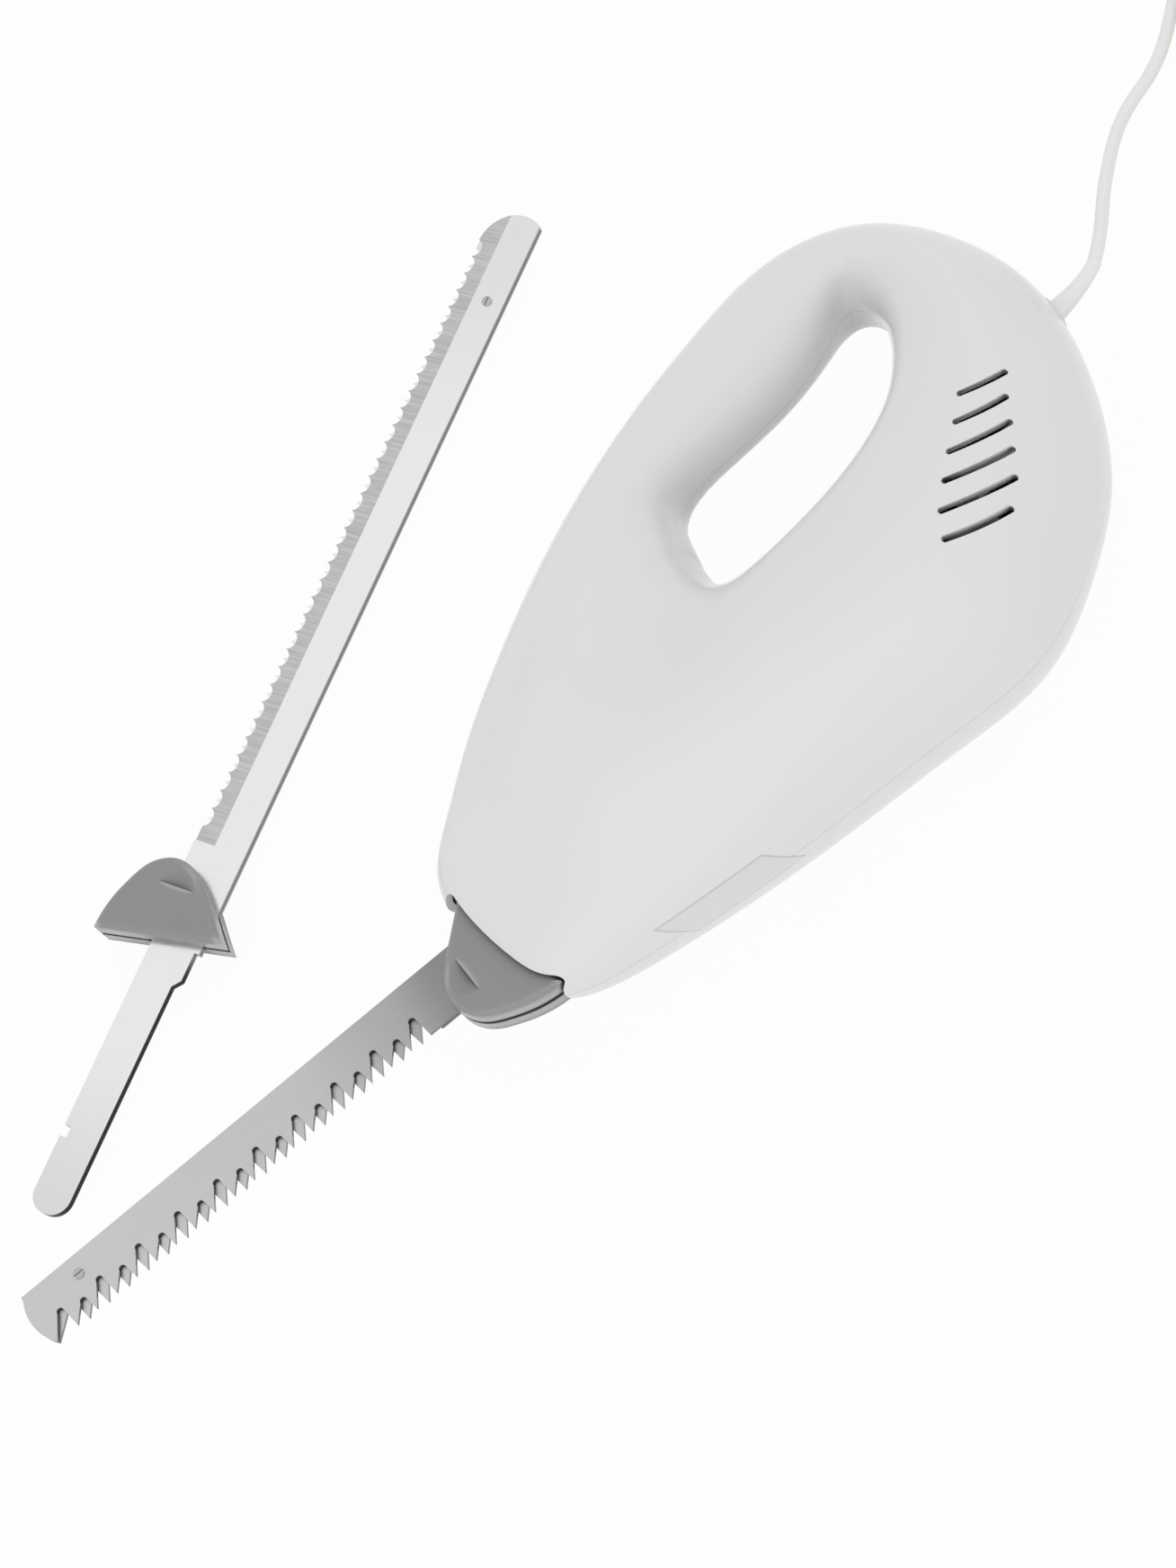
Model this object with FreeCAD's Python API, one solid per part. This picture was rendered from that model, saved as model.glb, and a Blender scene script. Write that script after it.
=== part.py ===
"""Electric carving knife with a ring-shaped two-half housing, a mounted coarse blade pair and a spare pair.

Frame, millimetres: +X runs back from the blade tip to the cord, +Y runs from the cutting side to the grip,
+Z runs from the table up through the knife, which lies on its right flank. The origin is under the belly,
on the small flat the knife lies on. Shapes are made about the parting plane z = 0 and lifted at the end.
"""
import FreeCAD
import Part
import math
import os

V = FreeCAD.Vector

# Housing
BODY_LENGTH = 237.0
BODY_HEIGHT = 151.6
BODY_HALF_WIDTH = 40.0
GRIP_HALF_WIDTH = 16.5
WALL = 2.4
REST_FLAT_DEPTH = 0.5
REST_X = 22.0
REST_Y = -25.0
ORIGIN_X_SHARE = 0.5063
ORIGIN_Y_SHARE = 0.4156
SECTION_POINTS = 12
SQUARE_SHARE = 0.28
OUTER_SQUARE_SHARE = 0.08
LIP_SHARE = 0.1
SOLVE_ROUNDS = 60

# Each row: opening point, outline point (shares of length and height), belly width share, outer taper share
RING_SHARES = [
    (0.497, 0.640, 0.153, 0.627, 0.57, 0.84),
    (0.492, 0.612, 0.062, 0.517, 0.66, 0.72),
    (0.490, 0.581, 0.013, 0.440, 0.70, 0.66),
    (0.491, 0.549, 0.002, 0.323, 0.74, 0.65),
    (0.500, 0.521, 0.015, 0.198, 0.79, 0.68),
    (0.521, 0.501, 0.053, 0.104, 0.83, 0.74),
    (0.553, 0.491, 0.175, 0.060, 0.91, 0.85),
    (0.598, 0.494, 0.365, 0.034, 1.00, 0.93),
    (0.659, 0.511, 0.560, 0.021, 1.00, 0.97),
    (0.718, 0.539, 0.717, 0.023, 1.00, 0.97),
    (0.768, 0.578, 0.843, 0.120, 0.91, 0.93),
    (0.806, 0.635, 0.939, 0.264, 0.79, 0.88),
    (0.835, 0.708, 1.001, 0.502, 0.57, 0.86),
    (0.846, 0.785, 0.992, 0.722, 0.40, 0.90),
    (0.823, 0.832, 0.917, 0.917, 0.21, 0.96),
    (0.773, 0.799, 0.795, 1.010, 0.06, 1.00),
    (0.690, 0.763, 0.675, 0.996, 0.02, 1.00),
    (0.599, 0.753, 0.564, 0.954, 0.00, 1.00),
    (0.540, 0.743, 0.446, 0.888, 0.06, 0.97),
    (0.509, 0.705, 0.310, 0.780, 0.32, 0.92),
]

# Cooling slots on both flanks
VENT_WIDTH = 2.0
VENT_BOW = 0.9
VENT_FIRST_X = 84.6
VENT_FIRST_Y = -0.7
VENT_STEP_X = -5.4
VENT_STEP_Y = -6.55
VENT_TILT_DEG = -6.5
VENT_LONGEST = 23.5
VENT_LENGTH_SHARES = [0.65, 0.72, 0.85, 0.93, 1.0, 0.90]
VENT_FLOOR_Z = 14.0

# Housing screws, driven from the right flank
SCREW_SHANK_R = 1.75
SCREW_HEAD_R = 3.4
SCREW_HEAD_T = 2.2
SCREW_GRIP = 8.0
SCREW_LENGTH = 18.0
SCREW_FIT = 0.15
LEFT_BOSS_R = 4.0
RIGHT_BOSS_R = 5.4
SCREW_SPOT_SHARES = [
    (0.245, 0.561),
    (0.371, 0.086),
    (0.709, 0.884),
    (0.945, 0.442),
    (0.637, 0.086),
    (0.380, 0.680),
]

# Nose mouth that the blade guards run in
MOUTH_LENGTH = 43.6
MOUTH_HALF_WIDTH = 9.2
MOUTH_DEPTH = 24.0
MOUTH_CENTRE_Y = -24.8
MOUTH_CORNER_R = 3.0

# Blades
BLADE_AXIS_Y = -21.2
BLADE_HALF_WIDTH = 8.8
BLADE_T = 1.1
BLADE_GAP = 0.15
EDGE_T = 0.3
GUARD_BASE_X = -110.0
TANG_LENGTH = 86.0
TANG_LOW = 7.4
TANG_HIGH = 5.0
TANG_END_R = 5.8
NECK_HIGH = 7.2
NECK_LENGTH = 9.0
NOTCH_FROM_END = 26.0
NOTCH_LENGTH = 3.4
NOTCH_DEPTH = 2.2
RIVET_R = 1.2
RIVET_HEAD_R = 1.6
RIVET_HEAD_T = 0.4
RIVET_WASHER_R = 2.6
RIVET_UP = 3.2
BLADE_STROKE = 4.0
RIVET_PLAY = 0.25

# Coarse pair, mounted
COARSE_LENGTH = 169.5
COARSE_PLAIN = 33.0
COARSE_PITCH = 6.97
COARSE_FIRST = 8.0
COARSE_DEEP = 7.7
COARSE_SHALLOW = 5.7
GULLET_R = 1.1
TOOTH_LEAN = 0.8
COARSE_RIVET_FROM_TIP = 18.2
COARSE_BULGE_SHARE = 0.0

# Scalloped pair, spare
FINE_LENGTH = 247.0
FINE_PLAIN = 36.0
FINE_PITCH = 5.9
FINE_FIRST = 9.6
FINE_DEPTH = 2.2
BEVEL_WIDTH = 7.0
FINE_RIVET_FROM_TIP = 28.6
FINE_BULGE_SHARE = -0.15
SPARE_X = -190.0
SPARE_Y = 61.8
SPARE_TURN_DEG = 209.2

# Guards, one half on each blade
GUARD_LENGTH = 24.0
GUARD_HALF_WIDTH = 20.5
GUARD_T = 6.6
GUARD_ROUND = 1.8
GUARD_WALL = 1.3
GUARD_SKIN = 1.5
GUARD_SHARES = [
    (0.15, -1.185),
    (-0.125, -1.16),
    (-0.375, -1.083),
    (-0.604, -0.971),
    (-0.812, -0.829),
    (-0.942, -0.644),
    (-1.0, -0.429),
    (-0.954, -0.146),
    (-0.817, 0.088),
    (-0.642, 0.302),
    (-0.396, 0.571),
    (-0.175, 0.824),
]
GUARD_MID_SHARES = (-0.42, -0.18)
DIMPLE_R = 12.0
DIMPLE_DEPTH = 1.7
DIMPLE_X = -15.6
DIMPLE_Y = -4.5

# Blade carriers and their guide
CARRIER_FRONT_X = -96.0
CARRIER_UP = 8.6
CARRIER_DOWN = 11.0
CARRIER_OUT = 6.0
CARRIER_END_T = 2.7
RUN_GAP = 0.3
ARM_IN = 4.5
ARM_OUT = 7.5
ARM_FRONT_X = -46.0
GUIDE_FRONT_X = -92.0
GUIDE_BACK_X = -58.0
GUIDE_WALL = 2.4
LATCH_T = 0.8
LATCH_WIDTH = 3.2
LATCH_BACK_X = -28.0
LATCH_PAD = 4.0

# Worm drive
WHEEL_Y = -36.0
WHEEL_TEETH = 30
MODULE = 1.0
WHEEL_HALF_T = 3.5
TOOTH_SHARE = 0.42
TIP_SHARE = 0.5
HUB_R = 6.5
WORM_PITCH_R = 4.5
WORM_HALF_LENGTH = 9.4
AXLE_R = 2.5
AXLE_HALF_LENGTH = 16.0
AXLE_FIT = 0.05
AXLE_BOSS_R = 6.0
AXLE_BOSS_END = 8.3
CRANK_THROW = 3.5
CAM_R = 8.5
CAM_IN = 4.2
CAM_OUT = 7.8
CAM_PLAY = 0.65
YOKE_WALL = 3.0

# Motor
SHAFT_R = 3.0
SHAFT_FRONT_X = -13.0
SHAFT_BACK_X = 90.0
BEARING_R = 8.0
BEARING_T = 5.0
FRONT_BEARING_X = 19.0
REAR_BEARING_X = 83.0
FAN_X = 25.0
FAN_T = 5.5
FAN_R = 17.5
FAN_HUB_R = 6.0
FAN_BLADES = 11
FAN_BLADE_T = 1.2
CORE_X = 38.0
CORE_LENGTH = 24.0
CORE_R = 14.4
CORE_SLOTS = 12
SLOT_R = 1.5
WINDING_R = 12.4
WINDING_T = 5.0
COMMUTATOR_X = 70.0
COMMUTATOR_LENGTH = 9.0
COMMUTATOR_R = 8.0
COMMUTATOR_BARS = 24
BAR_GAP = 0.5
STATOR_X = 36.0
STATOR_LENGTH = 28.0
STATOR_HALF_Y = 22.0
STATOR_HALF_Z = 26.0
STATOR_CORNER = 13.0
STATOR_BORE = 15.0
COIL_IN = 13.0
COIL_OUT = 18.0
COIL_LOW = 15.6
COIL_HIGH = 19.0
COIL_OVERHANG = 5.0
LEG_IN = 20.5
LEG_OUT = 24.5
LEG_HALF_Y = 6.0
BRACKET_T = 3.0
BRACKET_HALF_Y = 10.0
BRUSH_HALF_X = 2.5
BRUSH_HALF_Y = 3.0
BRUSH_LENGTH = 7.0
HOLDER_WALL = 1.2
STATOR_SCREW_R = 1.5
STATOR_SCREW_HEAD_R = 2.8
STATOR_SCREW_HEAD_T = 2.0
RIB_T = 2.0

# Power button on top of the grip
BUTTON_SPOT_SHARES = (0.599127, 0.96969)
BUTTON_SLOPE_DEG = 14.0
BUTTON_HALF_LENGTH = 13.0
BUTTON_HALF_WIDTH = 5.5
BUTTON_PROUD = 0.35
BUTTON_ROUND = 0.8
BUTTON_CROWN_R = 14.0
BUTTON_DEEP = 5.4
BUTTON_FLANGE = 1.0
BUTTON_FLANGE_T = 1.4
BUTTON_STEM_R = 2.2
BUTTON_STEM = 8.2
BUTTON_TRAVEL = 2.5
SWITCH_HALF_LENGTH = 10.0
SWITCH_HALF_WIDTH = 4.5
SWITCH_HEIGHT = 9.0
SPRING_WIRE = 0.7
SPRING_TURNS = 3
SPRING_STEPS = 12

# Blade release button on the right flank
RELEASE_X = -30.0
RELEASE_Y = -36.8
RELEASE_R = 6.5
RELEASE_FACE_Z = 35.6
RELEASE_CAP = 10.5
RELEASE_FLANGE = 1.6
RELEASE_FLANGE_T = 1.6
RELEASE_STEM_R = 2.5
RELEASE_END_Z = 9.0
RELEASE_SEAT_Z = 13.5
RELEASE_TRAVEL = 3.0

# Cord
CORD_R = 2.0
CORD_HOLE_R = 3.5
GLAND_R = 3.2
GLAND_TIP_R = 2.6
GLAND_COLLAR_R = 4.8
GLAND_COLLAR_T = 2.0
GLAND_OUT = 5.4
GLAND_IN = 6.0
EXIT_X = 116.1
EXIT_Y = 20.6
CLAMP_X = 97.0
CLAMP_LENGTH = 7.0
CLAMP_HALF = 5.0
CORD_UNIT = 20.0
CORD_ROUTE_SHARES = [
    (4.85, 1.03, 1.975),
    (6.48, 1.03, 1.975),
    (7.15, 1.62, 1.72),
    (8.10, 2.55, 0.90),
    (9.35, 3.70, 0.148),
    (10.85, 4.95, 0.145),
]
COIL_R_MEAN = 24.2
COIL_TURNS = 3.25
COIL_PITCH = 4.5
COIL_LIFT = 0.9
COIL_LAYER = 4.55
COIL_LEAD = 12.0
TAIL_LENGTH = 34.0
TIE_T = 0.6
TIE_WIDTH = 4.0
TIE_ROOM = 0.4
PLUG_LENGTH = 34.0
PLUG_HALF_WIDTH = 13.0
PLUG_NECK_HALF_WIDTH = 5.0
PLUG_HALF_T = 6.2
PIN_R = 2.0
PIN_LENGTH = 19.0
PIN_SPACING = 18.6

MID_Z = BODY_HALF_WIDTH - REST_FLAT_DEPTH
WORM_Y = WHEEL_Y + MODULE * WHEEL_TEETH / 2 + WORM_PITCH_R
NODES = {}


def body_x(share):
    """Length share along the housing to an X position."""
    return (share - ORIGIN_X_SHARE) * BODY_LENGTH


def body_y(share):
    """Height share of the housing to a Y position."""
    return (share - ORIGIN_Y_SHARE) * BODY_HEIGHT


def box(x0, x1, y0, y1, z0, z1):
    """Box between two corners."""
    return Part.makeBox(x1 - x0, y1 - y0, z1 - z0, V(x0, y0, z0))


def block(x, y, half_x, half_y, z0, z1):
    """Box about a vertical line."""
    return box(x - half_x, x + half_x, y - half_y, y + half_y, z0, z1)


def rod_x(radius, x0, x1, y, z=0.0):
    """Cylinder along X."""
    return Part.makeCylinder(radius, x1 - x0, V(x0, y, z), V(1, 0, 0))


def rod_z(radius, z0, z1, x, y):
    """Cylinder along Z."""
    return Part.makeCylinder(radius, z1 - z0, V(x, y, z0))


def prism(points, z0, z1):
    """Polygon in XY drawn up from z0 to z1."""
    loop = Part.makePolygon([V(x, y, z0) for x, y in points] + [V(points[0][0], points[0][1], z0)])
    return Part.Face(loop).extrude(V(0, 0, z1 - z0))


def pill(half_length, half_width, z0, z1):
    """Flat pill along X, its ends half round."""
    straight = half_length - half_width
    a = V(-straight, half_width, z0)
    b = V(straight, half_width, z0)
    c = V(straight, -half_width, z0)
    d = V(-straight, -half_width, z0)
    top = Part.LineSegment(a, b).toShape()
    right = Part.Arc(b, V(half_length, 0, z0), c).toShape()
    low = Part.LineSegment(c, d).toShape()
    left = Part.Arc(d, V(-half_length, 0, z0), a).toShape()
    return Part.Face(Part.Wire([top, right, low, left])).extrude(V(0, 0, z1 - z0))


def union(shapes):
    """One solid from several that overlap."""
    joined = shapes[0].multiFuse(shapes[1:])
    return joined.removeSplitter()


def mirrored(shape):
    """The same shape on the other side of the parting plane."""
    return shape.mirror(V(0, 0, 0), V(0, 0, 1))


def coil_spring(radius, height, turns, wire_r):
    """Wire wound along Z from z = 0, faceted between six-sided sections."""
    slope = height / turns / (2 * math.pi)
    rings = []
    for k in range(int(round(SPRING_STEPS * turns)) + 1):
        turn = 2 * math.pi * k / SPRING_STEPS
        out = V(math.cos(turn), math.sin(turn), 0)
        ahead = V(-radius * out.y, radius * out.x, slope)
        ahead.normalize()
        up = out.cross(ahead)
        spot = out * radius + V(0, 0, slope * turn)
        ring = []
        for j in range(6):
            angle = math.pi * j / 3
            ring.append(spot + out * (wire_r * math.cos(angle)) + up * (wire_r * math.sin(angle)))
        rings.append(ring)
    faces = [Part.Face(Part.makePolygon(end + [end[0]])) for end in (rings[0], rings[-1])]
    for low, high in zip(rings, rings[1:]):
        for j in range(6):
            a = low[j]
            b = low[(j + 1) % 6]
            c = high[(j + 1) % 6]
            d = high[j]
            faces.append(Part.Face(Part.makePolygon([a, b, c, a])))
            faces.append(Part.Face(Part.makePolygon([a, c, d, a])))
    shell = Part.makeShell(faces)
    shell.sewShape()
    solid = Part.makeSolid(shell)
    if solid.Volume < 0:
        solid.reverse()
    return solid


def ring_section(row, inset):
    """Rounded section of the housing ring between one opening point and one outline point."""
    inner = V(body_x(row[0]), body_y(row[1]), 0)
    outer = V(body_x(row[2]), body_y(row[3]), 0)
    along = outer - inner
    reach = along.Length - 2 * inset
    along.normalize()
    half = GRIP_HALF_WIDTH + row[4] * (BODY_HALF_WIDTH - GRIP_HALF_WIDTH)
    full = min(1.0, row[4] / (1.0 - LIP_SHARE))
    points = []
    for k in range(SECTION_POINTS):
        turn = 2 * math.pi * k / SECTION_POINTS
        toward_outline = SECTION_POINTS // 4 < k < 3 * SECTION_POINTS // 4
        power = 1.0 - full * (OUTER_SQUARE_SHARE if toward_outline else SQUARE_SHARE)
        c = math.cos(turn)
        s = math.sin(turn)
        share = (1.0 - math.copysign(abs(c) ** power, c)) / 2
        taper = 1.0
        if k in (SECTION_POINTS // 4, 3 * SECTION_POINTS // 4):
            share = 0.5
        elif share > 0.5:
            taper = row[5]
        else:
            taper = 1.0 - LIP_SHARE * row[4]
        rise = math.copysign(abs(s) ** power, s) * (half * taper - inset)
        if k in (0, SECTION_POINTS // 2):
            rise = 0.0
        spot = inner + along * (inset + reach * share)
        points.append(V(spot.x, spot.y, rise))
    return points


def smooth(grid):
    """Grid of the points a closed cubic surface with these poles passes through."""
    n = len(grid)
    m = len(grid[0])
    rows = []
    for i in range(n):
        rows.append([(grid[i - 1][j] + grid[i][j] * 4 + grid[(i + 1) % n][j]) * (1 / 6) for j in range(m)])
    return [[(r[j - 1] + r[j] * 4 + r[(j + 1) % m]) * (1 / 6) for j in range(m)] for r in rows]


def ring_half(inset):
    """Left half of the housing form as a solid, its surface moved inward by the inset."""
    data = [ring_section(row, inset) for row in RING_SHARES]
    n = len(data)
    m = SECTION_POINTS
    poles = [[V(p) for p in row] for row in data]
    for _ in range(SOLVE_ROUNDS):
        made = smooth(poles)
        poles = [[poles[i][j] + data[i][j] - made[i][j] for j in range(m)] for i in range(n)]
    turned = [[poles[i - 1][j - 1] for j in range(m)] for i in range(n)]
    surface = Part.BSplineSurface()
    u_knots = list(range(n + 1))
    v_knots = list(range(m + 1))
    ones_u = [1] * (n + 1)
    ones_v = [1] * (m + 1)
    surface.buildFromPolesMultsKnots(turned, ones_u, ones_v, u_knots, v_knots, True, True, 3, 3)
    skin = surface.toShape(0, n, 0, m // 2)
    rims = [Part.Wire([e]) for e in skin.Edges if e.isClosed()]
    cap = Part.makeFace(rims, "Part::FaceMakerBullseye")
    shell = Part.makeShell([skin] + cap.Faces)
    shell.sewShape()
    solid = Part.makeSolid(shell)
    if solid.Volume < 0:
        solid.reverse()
    return solid


def vent_cut():
    """Six bowed slots through one flank."""
    cuts = []
    half = VENT_WIDTH / 2
    for k, share in enumerate(VENT_LENGTH_SHARES):
        reach = VENT_LONGEST * share / 2 - half
        top = Part.Arc(V(-reach, half, 0), V(0, half - VENT_BOW, 0), V(reach, half, 0)).toShape()
        right = Part.Arc(V(reach, half, 0), V(reach + half, 0, 0), V(reach, -half, 0)).toShape()
        low = Part.Arc(V(reach, -half, 0), V(0, -half - VENT_BOW, 0), V(-reach, -half, 0)).toShape()
        left = Part.Arc(V(-reach, -half, 0), V(-reach - half, 0, 0), V(-reach, half, 0)).toShape()
        slot = Part.Face(Part.Wire([top, right, low, left])).extrude(V(0, 0, BODY_HALF_WIDTH))
        slot.rotate(V(0, 0, 0), V(0, 0, 1), VENT_TILT_DEG)
        slot.translate(V(VENT_FIRST_X + k * VENT_STEP_X, VENT_FIRST_Y + k * VENT_STEP_Y, VENT_FLOOR_Z))
        cuts.append(slot)
    return cuts


def mouth_cut():
    """Slot with rounded corners through the nose."""
    low = MOUTH_CENTRE_Y - MOUTH_LENGTH / 2
    high = MOUTH_CENTRE_Y + MOUTH_LENGTH / 2
    front = body_x(0) - WALL
    slot = box(front, front + MOUTH_DEPTH, low, high, -MOUTH_HALF_WIDTH, MOUTH_HALF_WIDTH)
    corners = [e for e in slot.Edges if abs(e.tangentAt(e.FirstParameter).x) > 0.5]
    return slot.makeFillet(MOUTH_CORNER_R, corners)


def on_grip(shape):
    """Move a shape made with +Z as outward normal and +X along the grip to the power button's place."""
    shape.rotate(V(0, 0, 0), V(1, 0, 0), -90)
    shape.rotate(V(0, 0, 0), V(0, 0, 1), BUTTON_SLOPE_DEG)
    shape.translate(V(body_x(BUTTON_SPOT_SHARES[0]), body_y(BUTTON_SPOT_SHARES[1]), 0))
    return shape


def screw_spots():
    """XY places of the housing screws."""
    return [(body_x(a), body_y(b)) for a, b in SCREW_SPOT_SHARES]


def side_supports(outer):
    """Inner ribs and bosses both halves share, on the left side."""
    made = [rod_z(AXLE_BOSS_R, AXLE_BOSS_END, BODY_HALF_WIDTH, 0, WHEEL_Y)]
    for share in (0.2, 0.8):
        x = STATOR_X + share * STATOR_LENGTH
        made.append(block(x, WORM_Y, RIB_T / 2, LEG_HALF_Y, STATOR_HALF_Z, BODY_HALF_WIDTH))
    guide_side = CARRIER_OUT + RUN_GAP + GUIDE_WALL
    low = BLADE_AXIS_Y - CARRIER_DOWN / 2
    high = BLADE_AXIS_Y + CARRIER_UP / 2
    for x in (GUIDE_FRONT_X + RIB_T, GUIDE_BACK_X - 2 * RIB_T):
        made.append(box(x, x + RIB_T, low, high, guide_side, BODY_HALF_WIDTH))
    for share in (-0.6, 0.6):
        rib = box(-RIB_T / 2, RIB_T / 2, SWITCH_HALF_WIDTH, BODY_HALF_WIDTH, -SWITCH_HEIGHT, 0)
        rib.translate(V(share * SWITCH_HALF_LENGTH, 0, -switch_top()))
        made.append(on_grip(mirror_y(rib)))
    clamp_mid = CLAMP_X + CLAMP_LENGTH / 2
    made.append(block(clamp_mid, EXIT_Y, RIB_T / 2, CLAMP_HALF, CLAMP_HALF, BODY_HALF_WIDTH))
    return [shape.common(outer) for shape in made]


def mirror_y(shape):
    """Mirror in the XZ plane, used before a shape is stood up on the grip."""
    return shape.mirror(V(0, 0, 0), V(0, 1, 0))


def switch_top():
    """Depth of the switch's top face below the grip's surface."""
    return BUTTON_DEEP + BUTTON_FLANGE_T + BUTTON_TRAVEL + SPRING_WIRE * (SPRING_TURNS + 2)


def shared_cuts():
    """Cuts that run through both housing halves."""
    cuts = [mouth_cut()]
    fit = RUN_GAP
    cuts.append(on_grip(pill(BUTTON_HALF_LENGTH + fit, BUTTON_HALF_WIDTH + fit, -BUTTON_DEEP, BUTTON_DEEP)))
    cuts.append(rod_x(CORD_HOLE_R, EXIT_X - 4 * WALL, EXIT_X + 4 * WALL, EXIT_Y))
    cuts.append(rod_z(AXLE_R, -AXLE_HALF_LENGTH, AXLE_HALF_LENGTH, 0, WHEEL_Y))
    return cuts


def housing():
    """Left and right shells, with bosses, ribs, slots and the small flat the knife lies on."""
    outer = ring_half(0.0)
    base = outer.cut(ring_half(WALL))
    supports = side_supports(outer)
    bosses = [rod_z(LEFT_BOSS_R, 0, BODY_HALF_WIDTH, x, y).common(outer) for x, y in screw_spots()]
    left = base.multiFuse(supports + bosses)
    depth = SCREW_LENGTH - SCREW_GRIP + WALL
    pilots = [rod_z(SCREW_SHANK_R + SCREW_FIT, 0, depth, x, y) for x, y in screw_spots()]
    left = left.cut(Part.makeCompound(vent_cut() + pilots))
    wide = [rod_z(RIGHT_BOSS_R, 0, BODY_HALF_WIDTH, x, y).common(outer) for x, y in screw_spots()]
    sleeve_r = RELEASE_R + RELEASE_FLANGE + WALL
    seat = rod_z(sleeve_r, RELEASE_SEAT_Z, BODY_HALF_WIDTH, RELEASE_X, RELEASE_Y).common(outer)
    right = mirrored(base.multiFuse(supports + wide + [seat]))
    cuts = [mirrored(slot) for slot in vent_cut()]
    for x, y in screw_spots():
        cuts.append(rod_z(SCREW_HEAD_R + SCREW_FIT, -2 * BODY_HALF_WIDTH, -SCREW_GRIP, x, y))
        cuts.append(rod_z(SCREW_SHANK_R + SCREW_FIT, -BODY_HALF_WIDTH, 0, x, y))
    right = right.cut(Part.makeCompound(cuts))
    right = right.cut(release_hole())
    right = right.cut(box(-BODY_LENGTH, BODY_LENGTH, -BODY_HEIGHT, BODY_HEIGHT, -2 * MID_Z, -MID_Z))
    for cut in shared_cuts():
        left = left.cut(cut)
        right = right.cut(cut)
    NODES["left_shell"] = left
    NODES["right_shell"] = right


def release_hole():
    """Stepped hole for the blade release button."""
    fit = RUN_GAP
    cap_low = -RELEASE_FACE_Z + RELEASE_CAP
    hole = rod_z(RELEASE_R + fit, -2 * BODY_HALF_WIDTH, cap_low, RELEASE_X, RELEASE_Y)
    chamber_r = RELEASE_R + RELEASE_FLANGE + fit
    top = -RELEASE_SEAT_Z - WALL
    chamber = rod_z(chamber_r, cap_low - RELEASE_FLANGE_T - fit, top, RELEASE_X, RELEASE_Y)
    stem = rod_z(RELEASE_STEM_R + fit, top, 0, RELEASE_X, RELEASE_Y)
    return union([hole, chamber, stem])


def housing_screws():
    """Six screws that hold the halves together."""
    made = []
    for x, y in screw_spots():
        head = rod_z(SCREW_HEAD_R, -SCREW_GRIP - SCREW_HEAD_T, -SCREW_GRIP, x, y)
        shank = rod_z(SCREW_SHANK_R, -SCREW_GRIP, SCREW_LENGTH - SCREW_GRIP, x, y)
        face = -SCREW_GRIP - SCREW_HEAD_T
        slot = block(x, y, SCREW_HEAD_R / 5, SCREW_HEAD_R / 1.6, face, face + SCREW_HEAD_T / 2)
        cross = slot.copy()
        cross.rotate(V(x, y, 0), V(0, 0, 1), 90)
        made.append(union([head, shank]).cut(slot).cut(cross))
    NODES["housing_screws"] = Part.makeCompound(made)


def coarse_count():
    """Gullets that fit between the tip and the plain length before the guard."""
    return 1 + int((COARSE_LENGTH - COARSE_FIRST - COARSE_PLAIN) / COARSE_PITCH)


def fine_count():
    """Scallops that fit between the tip corner and the plain length before the guard."""
    return int((FINE_LENGTH - FINE_FIRST - FINE_PLAIN) / FINE_PITCH)


def coarse_edge(shift):
    """Saw-tooth edge from the tip corner back, gullets alternately deep and shallow."""
    low = -BLADE_HALF_WIDTH
    tip = -COARSE_LENGTH
    edges = []
    at = V(tip + COARSE_FIRST / 3, low, 0)
    for k in range(coarse_count()):
        x = tip + COARSE_FIRST + shift + k * COARSE_PITCH
        depth = COARSE_DEEP if k % 2 == 0 else COARSE_SHALLOW
        shoulder = low + depth - GULLET_R
        front = V(x - GULLET_R, shoulder, 0)
        back = V(x + GULLET_R, shoulder, 0)
        point = V(x + GULLET_R + TOOTH_LEAN, low, 0)
        edges.append(Part.LineSegment(at, front).toShape())
        edges.append(Part.Arc(front, V(x, low + depth, 0), back).toShape())
        edges.append(Part.LineSegment(back, point).toShape())
        at = point
    return edges, at


def fine_edge(shift):
    """Scalloped edge from the tip corner back."""
    low = -BLADE_HALF_WIDTH
    edges = []
    at = V(-FINE_LENGTH + FINE_FIRST, low, 0)
    if shift:
        step = V(at.x + shift, low, 0)
        edges.append(Part.LineSegment(at, step).toShape())
        at = step
    for k in range(fine_count()):
        end = V(at.x + FINE_PITCH, low, 0)
        edges.append(Part.Arc(at, V(at.x + FINE_PITCH / 2, low + FINE_DEPTH, 0), end).toShape())
        at = end
    return edges, at


def chain(points):
    """Straight edges through points."""
    return [Part.LineSegment(a, b).toShape() for a, b in zip(points, points[1:])]


def tang_points(start):
    """Points from the edge side of the guard round the tang to the spine side."""
    low = -BLADE_HALF_WIDTH
    notch = TANG_LENGTH - NOTCH_FROM_END
    end_r = TANG_HIGH / 2
    return [
        start,
        V(0, low, 0),
        V(0, -TANG_LOW, 0),
        V(notch, -TANG_LOW, 0),
        V(notch, -TANG_LOW + NOTCH_DEPTH, 0),
        V(notch + NOTCH_LENGTH, -TANG_LOW + NOTCH_DEPTH, 0),
        V(notch + NOTCH_LENGTH, -TANG_LOW, 0),
        V(TANG_LENGTH, -TANG_LOW, 0),
        V(TANG_LENGTH, TANG_HIGH, 0),
        V(NECK_LENGTH + end_r, TANG_HIGH, 0),
        V(NECK_LENGTH, NECK_HIGH, 0),
        V(0, NECK_HIGH, 0),
        V(0, BLADE_HALF_WIDTH, 0),
    ]


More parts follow.
